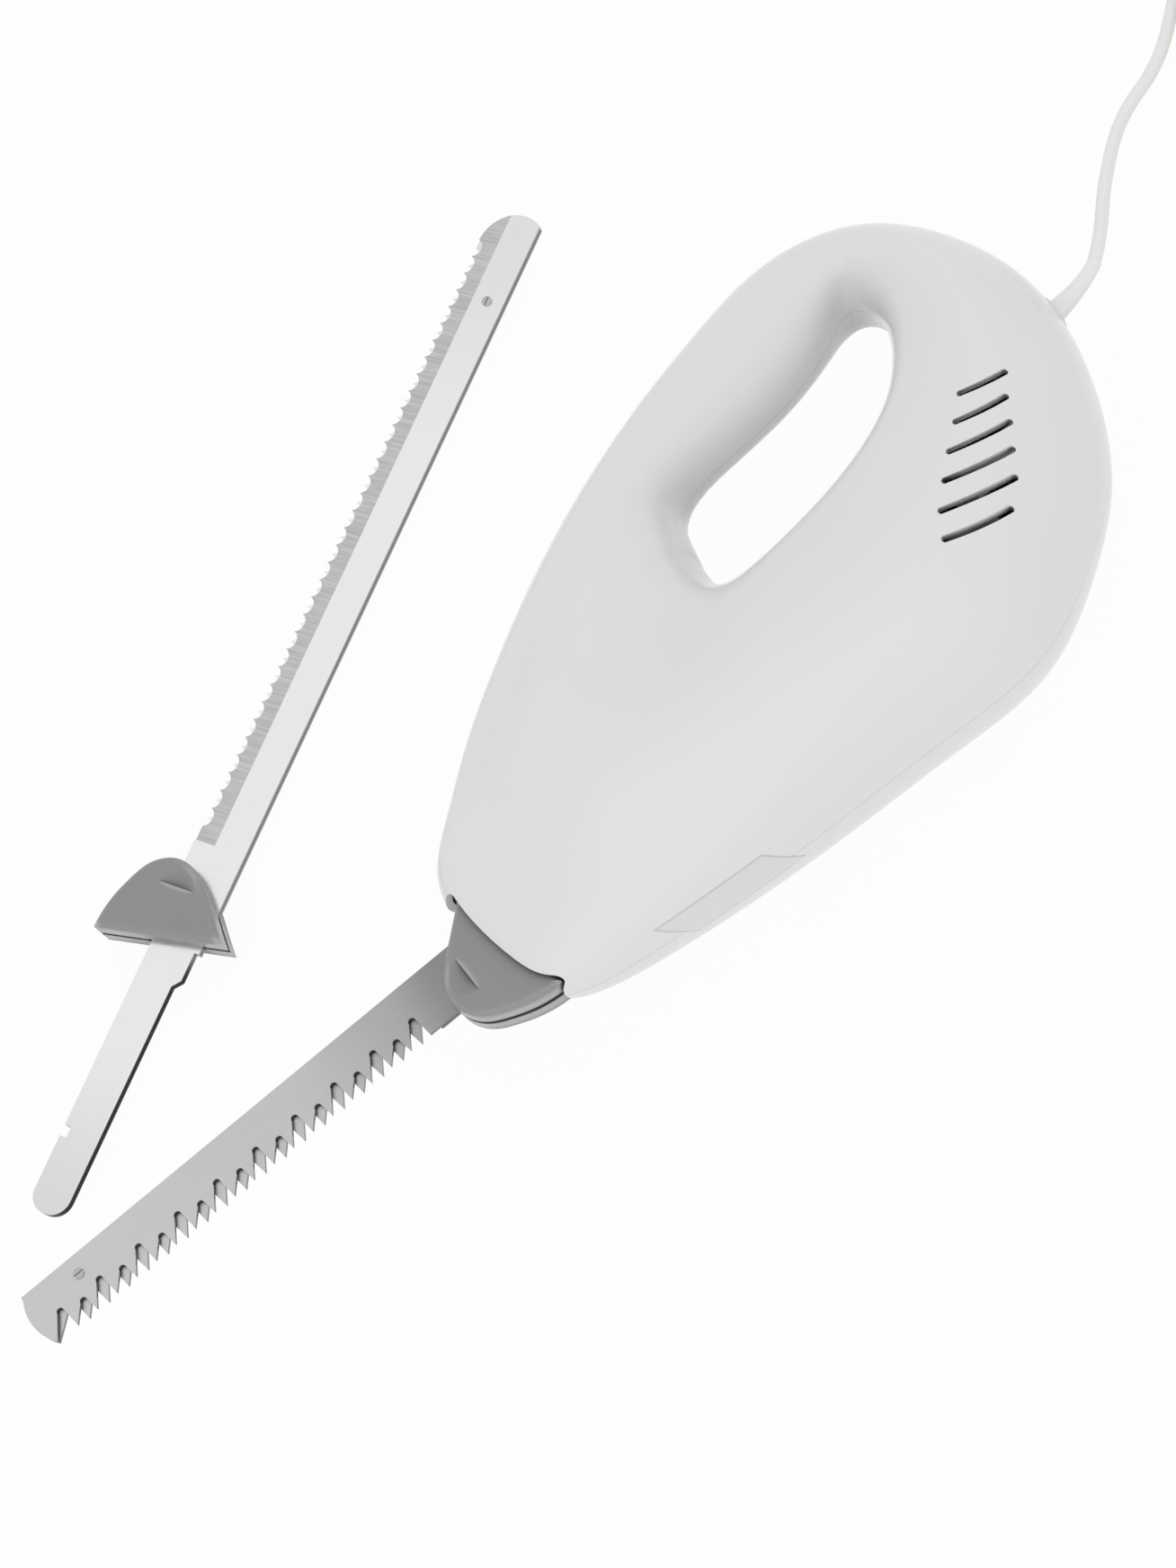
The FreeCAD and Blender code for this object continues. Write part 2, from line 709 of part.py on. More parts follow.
def blade(length, edge, tip_from, bulge_share, left):
    """One blade blank with its toothed edge and tang, on the left or right of the parting plane."""
    edges, at = edge
    first = edges[0].Vertexes[0].Point
    rim = chain(tang_points(at))
    spine = V(-length + BLADE_T, BLADE_HALF_WIDTH, 0)
    corner = V(-length + tip_from, BLADE_HALF_WIDTH - BLADE_T, 0)
    rim += chain([V(0, BLADE_HALF_WIDTH, 0), spine, corner])
    bulge = V(-length - BLADE_T / 2, BLADE_HALF_WIDTH * bulge_share, 0)
    rim.append(Part.Arc(corner, bulge, first).toShape())
    face = Part.Face(Part.Wire(Part.__sortEdges__(edges + rim)))
    solid = face.extrude(V(0, 0, BLADE_T))
    upright = [e for e in solid.Edges if e.BoundBox.YLength < RUN_GAP]
    ends = [e for e in upright if e.BoundBox.XMin > TANG_LENGTH - RUN_GAP]
    solid = solid.makeFillet(TANG_END_R, ends)
    solid.translate(V(0, 0, BLADE_GAP))
    return solid if left else mirrored(solid)


def bevel_cut(left):
    """Wedge that grinds the scalloped band on the outer face."""
    low = -BLADE_HALF_WIDTH
    top = BLADE_GAP + BLADE_T
    edge = BLADE_GAP + EDGE_T
    loop = [V(0, low + BEVEL_WIDTH, top), V(0, low, edge), V(0, low - BLADE_T, edge)]
    loop += [V(0, low - BLADE_T, top + BLADE_T), V(0, low + BEVEL_WIDTH, top + BLADE_T)]
    face = Part.Face(Part.makePolygon(loop + [loop[0]]))
    reach = FINE_FIRST + (fine_count() + 1) * FINE_PITCH
    wedge = face.extrude(V(reach, 0, 0))
    wedge.translate(V(-FINE_LENGTH - BLADE_T, 0, 0))
    return wedge if left else mirrored(wedge)


def guard_outline(grow, z):
    """Closed shield outline of a guard half, drawn in by a wall where grow is negative."""
    points = []
    mid_x = GUARD_MID_SHARES[0] * GUARD_LENGTH
    mid_y = GUARD_MID_SHARES[1] * GUARD_HALF_WIDTH
    for sx, sy in GUARD_SHARES:
        x = sx * GUARD_LENGTH
        y = sy * GUARD_HALF_WIDTH
        away = V(x - mid_x, y - mid_y, 0)
        away.normalize()
        points.append(V(x + away.x * grow, y + away.y * grow, z))
    flank = Part.BSplineCurve()
    flank.interpolate(points)
    base = Part.LineSegment(points[-1], points[0])
    return Part.Wire([flank.toShape(), base.toShape()])


def guard_half():
    """Left guard half, hollow beside the blade, with a thumb dimple."""
    low = BLADE_GAP + 0.3 * BLADE_T
    half = Part.Face(guard_outline(0.0, low)).extrude(V(0, 0, GUARD_T))
    top = low + GUARD_T
    rim = [e for e in half.Edges if e.BoundBox.ZMin > top - RUN_GAP]
    half = half.makeFillet(GUARD_ROUND, rim)
    pocket = Part.Face(guard_outline(-GUARD_WALL, low)).extrude(V(0, 0, GUARD_T - GUARD_SKIN - GUARD_ROUND))
    core = block(0, 0, 2 * GUARD_LENGTH, BLADE_HALF_WIDTH + GUARD_WALL, 0, 2 * top)
    half = half.cut(pocket.cut(core))
    half = half.cut(block(0, 0, 2 * GUARD_LENGTH, BLADE_HALF_WIDTH, 0, BLADE_GAP + BLADE_T))
    ball = Part.makeSphere(DIMPLE_R, V(DIMPLE_X, DIMPLE_Y, top + DIMPLE_R - DIMPLE_DEPTH))
    keep = box(DIMPLE_X - DIMPLE_R, DIMPLE_X, DIMPLE_Y - DIMPLE_R, DIMPLE_Y + DIMPLE_R, 0, 2 * top)
    return half.cut(ball.common(keep))


def rivet(x):
    """Tip rivet: set in the left blade, its washer head behind the right blade's slot."""
    out = BLADE_GAP + BLADE_T
    head = rod_z(RIVET_HEAD_R, out, out + RIVET_HEAD_T, x, RIVET_UP)
    shank = rod_z(RIVET_R, -out - RIVET_PLAY, out, x, RIVET_UP)
    washer = rod_z(RIVET_WASHER_R, -out - RIVET_PLAY - RIVET_HEAD_T, -out - RIVET_PLAY, x, RIVET_UP)
    face = out + RIVET_HEAD_T
    driver = block(x, RIVET_UP, RIVET_HEAD_R, RIVET_HEAD_T / 2, face - RIVET_HEAD_T / 2, face + RIVET_HEAD_T)
    return union([head, shank, washer]).cut(driver)


def rivet_slot(x):
    """Long slot in the right blade that the rivet runs in."""
    slot = pill(2 * BLADE_STROKE + RIVET_R + RIVET_PLAY, RIVET_R + RIVET_PLAY, -2 * BLADE_T, 0)
    slot.translate(V(x, RIVET_UP, 0))
    return slot


def blade_set(kind):
    """Both blades, both guard halves and the rivet of a pair, guard base at the origin, tip toward -X."""
    if kind == "coarse":
        left = blade(COARSE_LENGTH, coarse_edge(0.0), BLADE_T, COARSE_BULGE_SHARE, True)
        right = blade(COARSE_LENGTH, coarse_edge(COARSE_PITCH / 2), BLADE_T, COARSE_BULGE_SHARE, False)
        rivet_x = -COARSE_LENGTH + COARSE_RIVET_FROM_TIP
    else:
        left = blade(FINE_LENGTH, fine_edge(0.0), 0.0, FINE_BULGE_SHARE, True).cut(bevel_cut(True))
        right = blade(FINE_LENGTH, fine_edge(FINE_PITCH / 2), 0.0, FINE_BULGE_SHARE, False)
        right = right.cut(bevel_cut(False))
        rivet_x = -FINE_LENGTH + FINE_RIVET_FROM_TIP
    left = left.cut(rod_z(RIVET_R, 0, 2 * BLADE_T, rivet_x, RIVET_UP))
    right = right.cut(rivet_slot(rivet_x))
    guard = guard_half()
    return left, right, guard, mirrored(guard), rivet(rivet_x)


def mounted_blades():
    """The coarse pair, its tangs in the carriers."""
    made = blade_set("coarse")
    names = ["left_blade", "right_blade", "left_guard", "right_guard", "tip_rivet"]
    for name, shape in zip(names, made):
        shape.translate(V(GUARD_BASE_X, BLADE_AXIS_Y, 0))
        NODES[name] = shape


def spare_blades():
    """The scalloped pair, lying on the table beside the knife."""
    made = blade_set("fine")
    names = ["spare_left_blade", "spare_right_blade"]
    names += ["spare_left_guard", "spare_right_guard", "spare_tip_rivet"]
    rest = BLADE_GAP + 0.3 * BLADE_T + GUARD_T
    for name, shape in zip(names, made):
        shape.rotate(V(0, 0, 0), V(0, 0, 1), SPARE_TURN_DEG)
        shape.translate(V(SPARE_X, SPARE_Y, rest - MID_Z))
        NODES[name] = shape


def carrier():
    """Left blade carrier: a channel round the tang, an arm, and the yoke round the cam."""
    tang_end = GUARD_BASE_X + TANG_LENGTH + RUN_GAP
    back = tang_end + CARRIER_END_T
    low = BLADE_AXIS_Y - CARRIER_DOWN
    high = BLADE_AXIS_Y + CARRIER_UP
    body = box(CARRIER_FRONT_X, back, low, high, BLADE_GAP, CARRIER_OUT)
    bed_low = BLADE_AXIS_Y - TANG_LOW - RUN_GAP
    bed_high = BLADE_AXIS_Y + TANG_HIGH + RUN_GAP
    deep = BLADE_GAP + BLADE_T + RUN_GAP
    bed = box(CARRIER_FRONT_X - RUN_GAP, tang_end, bed_low, bed_high, 0, deep)
    notch = GUARD_BASE_X + TANG_LENGTH - NOTCH_FROM_END
    notch_end = notch + NOTCH_LENGTH + RUN_GAP
    window = box(notch - RUN_GAP, notch_end, low - RUN_GAP, bed_low, 0, deep + LATCH_WIDTH)
    hole_x = CAM_R + CAM_PLAY
    hole_y = CAM_R + CRANK_THROW + CAM_PLAY
    top = WHEEL_Y + hole_y + YOKE_WALL
    arm = box(ARM_FRONT_X, -hole_x, low, top, ARM_IN, ARM_OUT)
    yoke = block(0, WHEEL_Y, hole_x + YOKE_WALL, hole_y + YOKE_WALL, ARM_IN, ARM_OUT)
    hole = block(0, WHEEL_Y, hole_x, hole_y, 0, 2 * ARM_OUT)
    return union([body.cut(bed), arm, yoke]).cut(hole).cut(window)


def latch():
    """Left latch spring: a leaf under the carrier with a nose at the tang's notch."""
    low = BLADE_AXIS_Y - CARRIER_DOWN
    base = low - 2 * LATCH_T
    notch = GUARD_BASE_X + TANG_LENGTH - NOTCH_FROM_END
    front = notch + RUN_GAP
    inner = BLADE_GAP + BLADE_T + RUN_GAP
    outer = inner + LATCH_WIDTH
    nose_top = BLADE_AXIS_Y - TANG_LOW - 2 * RUN_GAP
    pad = box(LATCH_BACK_X - LATCH_PAD, LATCH_BACK_X, base, low, inner, outer)
    leaf = box(front, LATCH_BACK_X, base, low - LATCH_T, inner, outer - RUN_GAP)
    nose = box(front, notch + NOTCH_LENGTH - RUN_GAP, base, nose_top, BLADE_GAP, outer - RUN_GAP)
    return union([pad, leaf, nose])


def drive_bars():
    """Carriers, latches and the fixed guide they slide in."""
    bar = carrier()
    NODES["left_carrier"] = bar
    NODES["right_carrier"] = mirrored(bar)
    catch = latch()
    NODES["left_latch"] = catch
    NODES["right_latch"] = mirrored(catch)
    low = BLADE_AXIS_Y - CARRIER_DOWN - RUN_GAP
    high = BLADE_AXIS_Y + CARRIER_UP + RUN_GAP
    out = CARRIER_OUT + RUN_GAP
    wide = out + GUIDE_WALL
    frame = box(GUIDE_FRONT_X, GUIDE_BACK_X, low - GUIDE_WALL, high + GUIDE_WALL, -wide, wide)
    NODES["slide_guide"] = frame.cut(box(GUIDE_FRONT_X, GUIDE_BACK_X, low, high, -out, out))


def wheel_profile(turn, z):
    """Tooth outline of the worm wheel at one height, a tooth space at the top when turn is zero."""
    pitch_r = MODULE * WHEEL_TEETH / 2
    root_r = pitch_r - 1.2 * MODULE
    tip_r = pitch_r + 0.95 * MODULE
    step = 2 * math.pi / WHEEL_TEETH
    half = step * TOOTH_SHARE / 2
    points = []
    for k in range(WHEEL_TEETH):
        mid = math.pi / 2 + step * (k + 0.5) + turn
        spread = [(-1.42, root_r), (-TIP_SHARE, tip_r), (TIP_SHARE, tip_r), (1.42, root_r)]
        for share, radius in spread:
            angle = mid + half * share
            points.append(V(radius * math.cos(angle), radius * math.sin(angle), z))
    return Part.makePolygon(points + [points[0]])


def worm_wheel():
    """Worm wheel with an eccentric cam on each face, and its axle."""
    lead = math.pi * MODULE
    slope = lead / (2 * math.pi * WORM_PITCH_R)
    twist = WHEEL_HALF_T * slope / (MODULE * WHEEL_TEETH / 2)
    ends = [wheel_profile(-twist, -WHEEL_HALF_T), wheel_profile(twist, WHEEL_HALF_T)]
    gear = Part.makeLoft(ends, True, True)
    hub = rod_z(HUB_R, -CAM_OUT, CAM_OUT, 0, 0)
    cam_left = rod_z(CAM_R, CAM_IN, CAM_OUT, 0, CRANK_THROW)
    cam_right = rod_z(CAM_R, -CAM_OUT, -CAM_IN, 0, -CRANK_THROW)
    hub = hub.common(union([rod_z(HUB_R, -CAM_IN, CAM_IN, 0, 0), cam_left, cam_right]))
    bore = rod_z(AXLE_R + AXLE_FIT, -2 * CAM_OUT, 2 * CAM_OUT, 0, 0)
    wheel = union([gear, hub, cam_left, cam_right]).cut(bore)
    wheel.translate(V(0, WHEEL_Y, 0))
    NODES["worm_wheel"] = wheel
    NODES["gear_axle"] = rod_z(AXLE_R, -AXLE_HALF_LENGTH, AXLE_HALF_LENGTH, 0, WHEEL_Y)


def worm():
    """Single-start right-hand worm on the motor shaft, a thread crest at the bottom at x = 0."""
    lead = math.pi * MODULE
    root_r = WORM_PITCH_R - 1.15 * MODULE
    tip_r = WORM_PITCH_R + 0.95 * MODULE
    sink = root_r - 0.3 * MODULE
    half_root = lead * TOOTH_SHARE * 0.72
    half_tip = lead * TOOTH_SHARE * 0.25
    height = 2 * WORM_HALF_LENGTH - lead
    path = Part.makeHelix(lead, height, WORM_PITCH_R)
    loop = [V(sink, 0, -half_root), V(tip_r, 0, -half_tip), V(tip_r, 0, half_tip), V(sink, 0, half_root)]
    thread = Part.Wire(path).makePipeShell([Part.makePolygon(loop + [loop[0]])], True, True)
    turns = height / lead / 2
    thread.translate(V(0, 0, -height / 2))
    thread.rotate(V(0, 0, 0), V(0, 0, 1), -360 * turns)
    thread.rotate(V(0, 0, 0), V(0, 1, 0), 90)
    thread.rotate(V(0, 0, 0), V(1, 0, 0), 180)
    core = rod_x(root_r, -WORM_HALF_LENGTH, WORM_HALF_LENGTH, 0)
    body = core.fuse(thread)
    body.rotate(V(0, 0, 0), V(1, 0, 0), 90)
    bore = rod_x(SHAFT_R, -2 * WORM_HALF_LENGTH, 2 * WORM_HALF_LENGTH, 0)
    made = body.cut(bore)
    made.translate(V(0, WORM_Y, 0))
    NODES["worm"] = made


def around_shaft(shape, count):
    """Copies of a shape evenly about the motor axis."""
    made = []
    for k in range(count):
        turned = shape.copy()
        turned.rotate(V(0, WORM_Y, 0), V(1, 0, 0), 360 * k / count)
        made.append(turned)
    return made


def armature():
    """Shaft, laminated core, windings, commutator and fan that spin together."""
    shaft = rod_x(SHAFT_R, SHAFT_FRONT_X, SHAFT_BACK_X, WORM_Y)
    NODES["motor_shaft"] = shaft
    core_end = CORE_X + CORE_LENGTH
    rim = WORM_Y + CORE_R - SLOT_R
    core = rod_x(CORE_R, CORE_X, core_end, WORM_Y).cut(shaft)
    slot = rod_x(SLOT_R, CORE_X - WALL, core_end + WALL, rim)
    mouth = box(CORE_X - WALL, core_end + WALL, rim, rim + CORE_R, -SLOT_R / 3, SLOT_R / 3)
    core = core.cut(Part.makeCompound(around_shaft(slot, CORE_SLOTS) + around_shaft(mouth, CORE_SLOTS)))
    NODES["armature_core"] = core
    front = rod_x(WINDING_R, CORE_X - WINDING_T, CORE_X, WORM_Y)
    rear = rod_x(WINDING_R, core_end, core_end + WINDING_T, WORM_Y)
    strand = rod_x(SLOT_R, CORE_X - SLOT_R, core_end + SLOT_R, rim)
    wound = union([front, rear] + around_shaft(strand, CORE_SLOTS))
    NODES["armature_windings"] = wound.cut(shaft).cut(core)
    bars_end = COMMUTATOR_X + COMMUTATOR_LENGTH
    bars = rod_x(COMMUTATOR_R, COMMUTATOR_X, bars_end, WORM_Y).cut(shaft)
    floor = WORM_Y + COMMUTATOR_R - BAR_GAP
    line = box(COMMUTATOR_X, bars_end, floor, floor + COMMUTATOR_R, -BAR_GAP / 2, BAR_GAP / 2)
    NODES["commutator"] = bars.cut(Part.makeCompound(around_shaft(line, COMMUTATOR_BARS)))
    fan_end = FAN_X + FAN_T
    hub = rod_x(FAN_HUB_R, FAN_X, fan_end, WORM_Y)
    disc = rod_x(FAN_R, fan_end - FAN_BLADE_T, fan_end, WORM_Y)
    vane = box(FAN_X, fan_end, WORM_Y, WORM_Y + FAN_R, -FAN_BLADE_T / 2, FAN_BLADE_T / 2)
    vane = vane.common(rod_x(FAN_R, FAN_X, fan_end, WORM_Y))
    NODES["cooling_fan"] = union([hub, disc] + around_shaft(vane, FAN_BLADES)).cut(shaft)


def stator():
    """Field core with two coils, clamped by the bracket screws."""
    x0 = STATOR_X
    x1 = STATOR_X + STATOR_LENGTH
    core = box(x0, x1, WORM_Y - STATOR_HALF_Y, WORM_Y + STATOR_HALF_Y, -STATOR_HALF_Z, STATOR_HALF_Z)
    corners = [e for e in core.Edges if abs(e.BoundBox.XLength - STATOR_LENGTH) < RUN_GAP]
    core = core.makeFillet(STATOR_CORNER, corners)
    core = core.cut(rod_x(STATOR_BORE, x0, x1, WORM_Y))
    coils = []
    for side in (-1, 1):
        outer = box(x0 - COIL_OVERHANG, x1 + COIL_OVERHANG, COIL_LOW, COIL_HIGH, -COIL_OUT, COIL_OUT)
        inner = box(x0 - BRACKET_T / 3, x1 + BRACKET_T / 3, COIL_LOW, COIL_HIGH, -COIL_IN, COIL_IN)
        loop = outer.cut(inner)
        if side < 0:
            loop = mirror_y(loop)
        loop.translate(V(0, WORM_Y, 0))
        coils.append(loop)
    cut = Part.makeCompound(coils)
    NODES["field_coils"] = cut
    for z in (-(LEG_IN + LEG_OUT) / 2, (LEG_IN + LEG_OUT) / 2):
        core = core.cut(rod_x(STATOR_SCREW_R, x0, x1, WORM_Y, z))
    NODES["stator_core"] = core.cut(cut)


def bearing(x):
    """Ball bearing drawn as one ring round the shaft."""
    ring = rod_x(BEARING_R, x, x + BEARING_T, WORM_Y)
    return ring.cut(rod_x(SHAFT_R + AXLE_FIT, x, x + BEARING_T, WORM_Y))


def bracket(plate_x, bearing_x, leg_x0, leg_x1):
    """End bracket: a cross plate with a bearing seat and two legs to the field core."""
    plate = box(plate_x, plate_x + BRACKET_T, WORM_Y - LEG_HALF_Y, WORM_Y + LEG_HALF_Y, -LEG_OUT, LEG_OUT)
    seat = rod_x(BRACKET_HALF_Y, bearing_x, bearing_x + BEARING_T, WORM_Y)
    made = [plate, seat]
    for side in (-1, 1):
        z0 = min(side * LEG_IN, side * LEG_OUT)
        made.append(box(leg_x0, leg_x1, WORM_Y - LEG_HALF_Y, WORM_Y + LEG_HALF_Y, z0, z0 + LEG_OUT - LEG_IN))
    body = union(made).cut(rod_x(BEARING_R, bearing_x, bearing_x + BEARING_T, WORM_Y))
    body = body.cut(rod_x(SHAFT_R + RUN_GAP, plate_x - BEARING_T, plate_x + 2 * BEARING_T, WORM_Y))
    first = min(leg_x0, plate_x)
    last = max(leg_x1, plate_x + BRACKET_T)
    for z in (-(LEG_IN + LEG_OUT) / 2, (LEG_IN + LEG_OUT) / 2):
        body = body.cut(rod_x(STATOR_SCREW_R, first, last, WORM_Y, z))
    return body


def motor_frame():
    """Bearings, brackets and the long screws through them."""
    NODES["front_bearing"] = bearing(FRONT_BEARING_X)
    NODES["rear_bearing"] = bearing(REAR_BEARING_X)
    stator_end = STATOR_X + STATOR_LENGTH
    front_plate = FRONT_BEARING_X + BEARING_T - BRACKET_T
    NODES["front_bracket"] = bracket(front_plate, FRONT_BEARING_X, front_plate, STATOR_X)
    NODES["rear_bracket"] = bracket(REAR_BEARING_X, REAR_BEARING_X, stator_end, REAR_BEARING_X + BRACKET_T)
    made = []
    back = REAR_BEARING_X + BRACKET_T
    for z in (-(LEG_IN + LEG_OUT) / 2, (LEG_IN + LEG_OUT) / 2):
        shank = rod_x(STATOR_SCREW_R, front_plate, back, WORM_Y, z)
        head = rod_x(STATOR_SCREW_HEAD_R, back, back + STATOR_SCREW_HEAD_T, WORM_Y, z)
        made.append(union([shank, head]))
    NODES["motor_screws"] = Part.makeCompound(made)


def brush_gear():
    """Carbon brushes with their holders and springs, on both sides of the commutator."""
    mid = COMMUTATOR_X + COMMUTATOR_LENGTH / 2
    start = COMMUTATOR_R + AXLE_FIT
    back = start + BRUSH_LENGTH
    closed = LEG_IN - HOLDER_WALL
    brush = block(mid, WORM_Y, BRUSH_HALF_X, BRUSH_HALF_Y, start, back)
    NODES["carbon_brushes"] = Part.makeCompound([brush, mirrored(brush)])
    room = block(mid, WORM_Y, BRUSH_HALF_X, BRUSH_HALF_Y, start, closed)
    wide_x = BRUSH_HALF_X + HOLDER_WALL
    wide_y = BRUSH_HALF_Y + HOLDER_WALL
    holder = block(mid, WORM_Y, wide_x, wide_y, start + 2 * HOLDER_WALL, LEG_IN).cut(room)
    NODES["brush_holders"] = Part.makeCompound([holder, mirrored(holder)])
    room_left = closed - back - SPRING_WIRE
    coil = coil_spring(BRUSH_HALF_X - SPRING_WIRE, room_left, SPRING_TURNS, SPRING_WIRE / 2)
    coil.translate(V(mid, WORM_Y, back + SPRING_WIRE / 2))
    NODES["brush_springs"] = Part.makeCompound([coil, mirrored(coil)])


def power_switch():
    """Power button with its spring, and the switch it presses."""
    cap = pill(BUTTON_HALF_LENGTH, BUTTON_HALF_WIDTH, -BUTTON_DEEP, BUTTON_PROUD)
    rim = [e for e in cap.Edges if e.BoundBox.ZMin > BUTTON_PROUD - RUN_GAP]
    cap = cap.makeFillet(BUTTON_ROUND, rim)
    crown = rod_x(BUTTON_CROWN_R, -BUTTON_HALF_LENGTH, BUTTON_HALF_LENGTH, 0, BUTTON_PROUD - BUTTON_CROWN_R)
    cap = cap.common(crown)
    low = -BUTTON_DEEP - BUTTON_FLANGE_T
    flange = pill(BUTTON_HALF_LENGTH + BUTTON_FLANGE, BUTTON_HALF_WIDTH + BUTTON_FLANGE, low, -BUTTON_DEEP)
    stem = rod_z(BUTTON_STEM_R, low - BUTTON_STEM, low, 0, 0)
    NODES["power_button"] = on_grip(union([cap, flange, stem]))
    coil_r = BUTTON_STEM_R + SPRING_WIRE
    height = SPRING_WIRE * (SPRING_TURNS + 1)
    coil = coil_spring(coil_r, height, SPRING_TURNS, SPRING_WIRE / 2)
    coil.translate(V(0, 0, low - height - SPRING_WIRE / 2))
    NODES["button_spring"] = on_grip(coil)
    top = -switch_top()
    case = block(0, 0, SWITCH_HALF_LENGTH, SWITCH_HALF_WIDTH, top - SWITCH_HEIGHT, top)
    well = rod_z(BUTTON_STEM_R + RUN_GAP, low - BUTTON_STEM - BUTTON_TRAVEL - RUN_GAP, top, 0, 0)
    NODES["switch_body"] = on_grip(case.cut(well))


def release_button():
    """Blade release button on the right flank with its return spring."""
    face = -RELEASE_FACE_Z
    cap_low = face + RELEASE_CAP
    cap = rod_z(RELEASE_R, face, cap_low, RELEASE_X, RELEASE_Y)
    rim = [e for e in cap.Edges if e.BoundBox.ZMax < face + RUN_GAP]
    cap = cap.makeFillet(BUTTON_ROUND, rim)
    flange = rod_z(RELEASE_R + RELEASE_FLANGE, cap_low - RELEASE_FLANGE_T, cap_low, RELEASE_X, RELEASE_Y)
    stem = rod_z(RELEASE_STEM_R, cap_low, RELEASE_END_Z, RELEASE_X, RELEASE_Y)
    NODES["release_button"] = union([cap, flange, stem])
    room = -RELEASE_SEAT_Z - WALL - cap_low - RELEASE_TRAVEL
    coil = coil_spring(RELEASE_STEM_R + SPRING_WIRE, room - 2 * SPRING_WIRE, SPRING_TURNS, SPRING_WIRE / 2)
    coil.translate(V(RELEASE_X, RELEASE_Y, cap_low + SPRING_WIRE / 2))
    NODES["release_spring"] = coil


def cord_points():
    """Hand-laid points of the free cord, heights above the table."""
    return [V(a * CORD_UNIT, b * CORD_UNIT, c * CORD_UNIT) for a, b, c in CORD_ROUTE_SHARES]


def corner_path(points):
    """Straight runs joined by tangent arcs."""
    edges = []
    at = points[0]
    for k in range(1, len(points) - 1):
        back = points[k - 1] - points[k]
        ahead = points[k + 1] - points[k]
        cut = 0.45 * min(back.Length, ahead.Length)
        back.normalize()
        ahead.normalize()
        start = points[k] + back * cut
        end = points[k] + ahead * cut
        half = math.acos(max(-1.0, min(1.0, -back.dot(ahead)))) / 2
        print("cord turn", round(math.degrees(2 * half), 1), "radius", round(cut / math.tan(half), 1))
        chord = (start + end) * 0.5
        rise = points[k] - chord
        reach = (end - start).Length / 2
        sag = reach * (cut - reach) / rise.Length
        rise.normalize()
        edges.append(Part.LineSegment(at, start).toShape())
        edges.append(Part.Arc(start, chord + rise * sag, end).toShape())
        at = end
    edges.append(Part.LineSegment(at, points[-1]).toShape())
    return edges


def tube(edges):
    """Round cord along a path."""
    path = Part.Wire(edges)
    first = edges[0].Vertexes[0].Point
    heading = edges[0].tangentAt(edges[0].FirstParameter)
    ring = Part.Wire([Part.makeCircle(CORD_R, first, heading)])
    solid = path.makePipeShell([ring], True, False)
    plain = math.pi * CORD_R ** 2 * path.Length
    print("cord volume", round(solid.Volume), "section times length", round(plain))
    return solid


def bow(start, heading, end, leave):
    """Two tangent arcs between two points with given headings."""
    gap = end - start
    both = heading + leave
    a = 2 * (1 - heading.dot(leave))
    b = gap.dot(both)
    root = math.sqrt(b * b + a * gap.dot(gap))
    if b > 0:
        d = gap.dot(gap) / (b + root)
    else:
        d = (root - b) / a
    joint = (start + heading * d + end - leave * d) * 0.5
    made = []
    for p, corner, q in ((start, start + heading * d, joint), (joint, end - leave * d, end)):
        chord = (p + q) * 0.5
        rise = corner - chord
        reach = (q - p).Length / 2
        if rise.Length < 1e-3 * reach:
            made.append(Part.LineSegment(p, q).toShape())
            continue
        sag = reach * (d - reach) / rise.Length
        rise.normalize()
        made.append(Part.Arc(p, chord + rise * sag, q).toShape())
    return made


def coil_frame():
    """Centre of the coil, the angle where the cord joins it, and its outer radius."""
    points = cord_points()
    heading = points[-1] - points[-2]
    heading.z = 0
    heading.normalize()
    outer = COIL_R_MEAN + COIL_TURNS * COIL_PITCH / 2
    right = V(heading.y, -heading.x, 0)
    joint = V(points[-1].x, points[-1].y, 0) + heading * COIL_LEAD
    return joint + right * outer, math.atan2(-right.y, -right.x), outer, heading


def coil_spot(share):
    """Centre-line point of the coil; share runs 0 to 1 in the lower layer and 1 to 2 in the upper one."""
    centre, angle, outer, _ = coil_frame()
    climb = 0.5 / COIL_TURNS
    inward = share if share <= 1 else 2 - share
    radius = outer - COIL_PITCH * COIL_TURNS * inward
    turn = angle - 2 * math.pi * COIL_TURNS * share
    rise = min(1.0, max(0.0, (share - 1 + climb / 2) / climb))
    rise = rise * rise * (3 - 2 * rise)
    height = COIL_LIFT + CORD_R + COIL_LAYER * rise
    return V(centre.x + radius * math.cos(turn), centre.y + radius * math.sin(turn), height)


def coil_path():
    """Lead in, spiral in and out in two layers, and the tail to the plug."""
    points = cord_points()
    quarters = int(round(COIL_TURNS * 4))
    spots = [coil_spot(k / quarters) for k in range(2 * quarters + 1)]
    nudge = 0.002
    headings = []
    for k in range(2 * quarters + 1):
        share = k / quarters
        ahead = coil_spot(min(2.0, share + nudge)) - coil_spot(max(0.0, share - nudge))
        ahead.normalize()
        headings.append(ahead)
    _, _, _, heading = coil_frame()
    edges = [Part.LineSegment(points[-1], points[-1] + heading * (2 * CORD_R)).toShape()]
    edges += bow(points[-1] + heading * (2 * CORD_R), heading, spots[0], headings[0])
    for k in range(2 * quarters):
        edges += bow(spots[k], headings[k], spots[k + 1], headings[k + 1])
    leave = V(headings[-1].x, headings[-1].y, 0)
    leave.normalize()
    down = spots[-1] + leave * TAIL_LENGTH
    down.z = PLUG_HALF_T
    edges += bow(spots[-1], headings[-1], down, leave)
    end = down + leave * (2 * CORD_R)
    edges.append(Part.LineSegment(down, end).toShape())
    return edges, end, leave


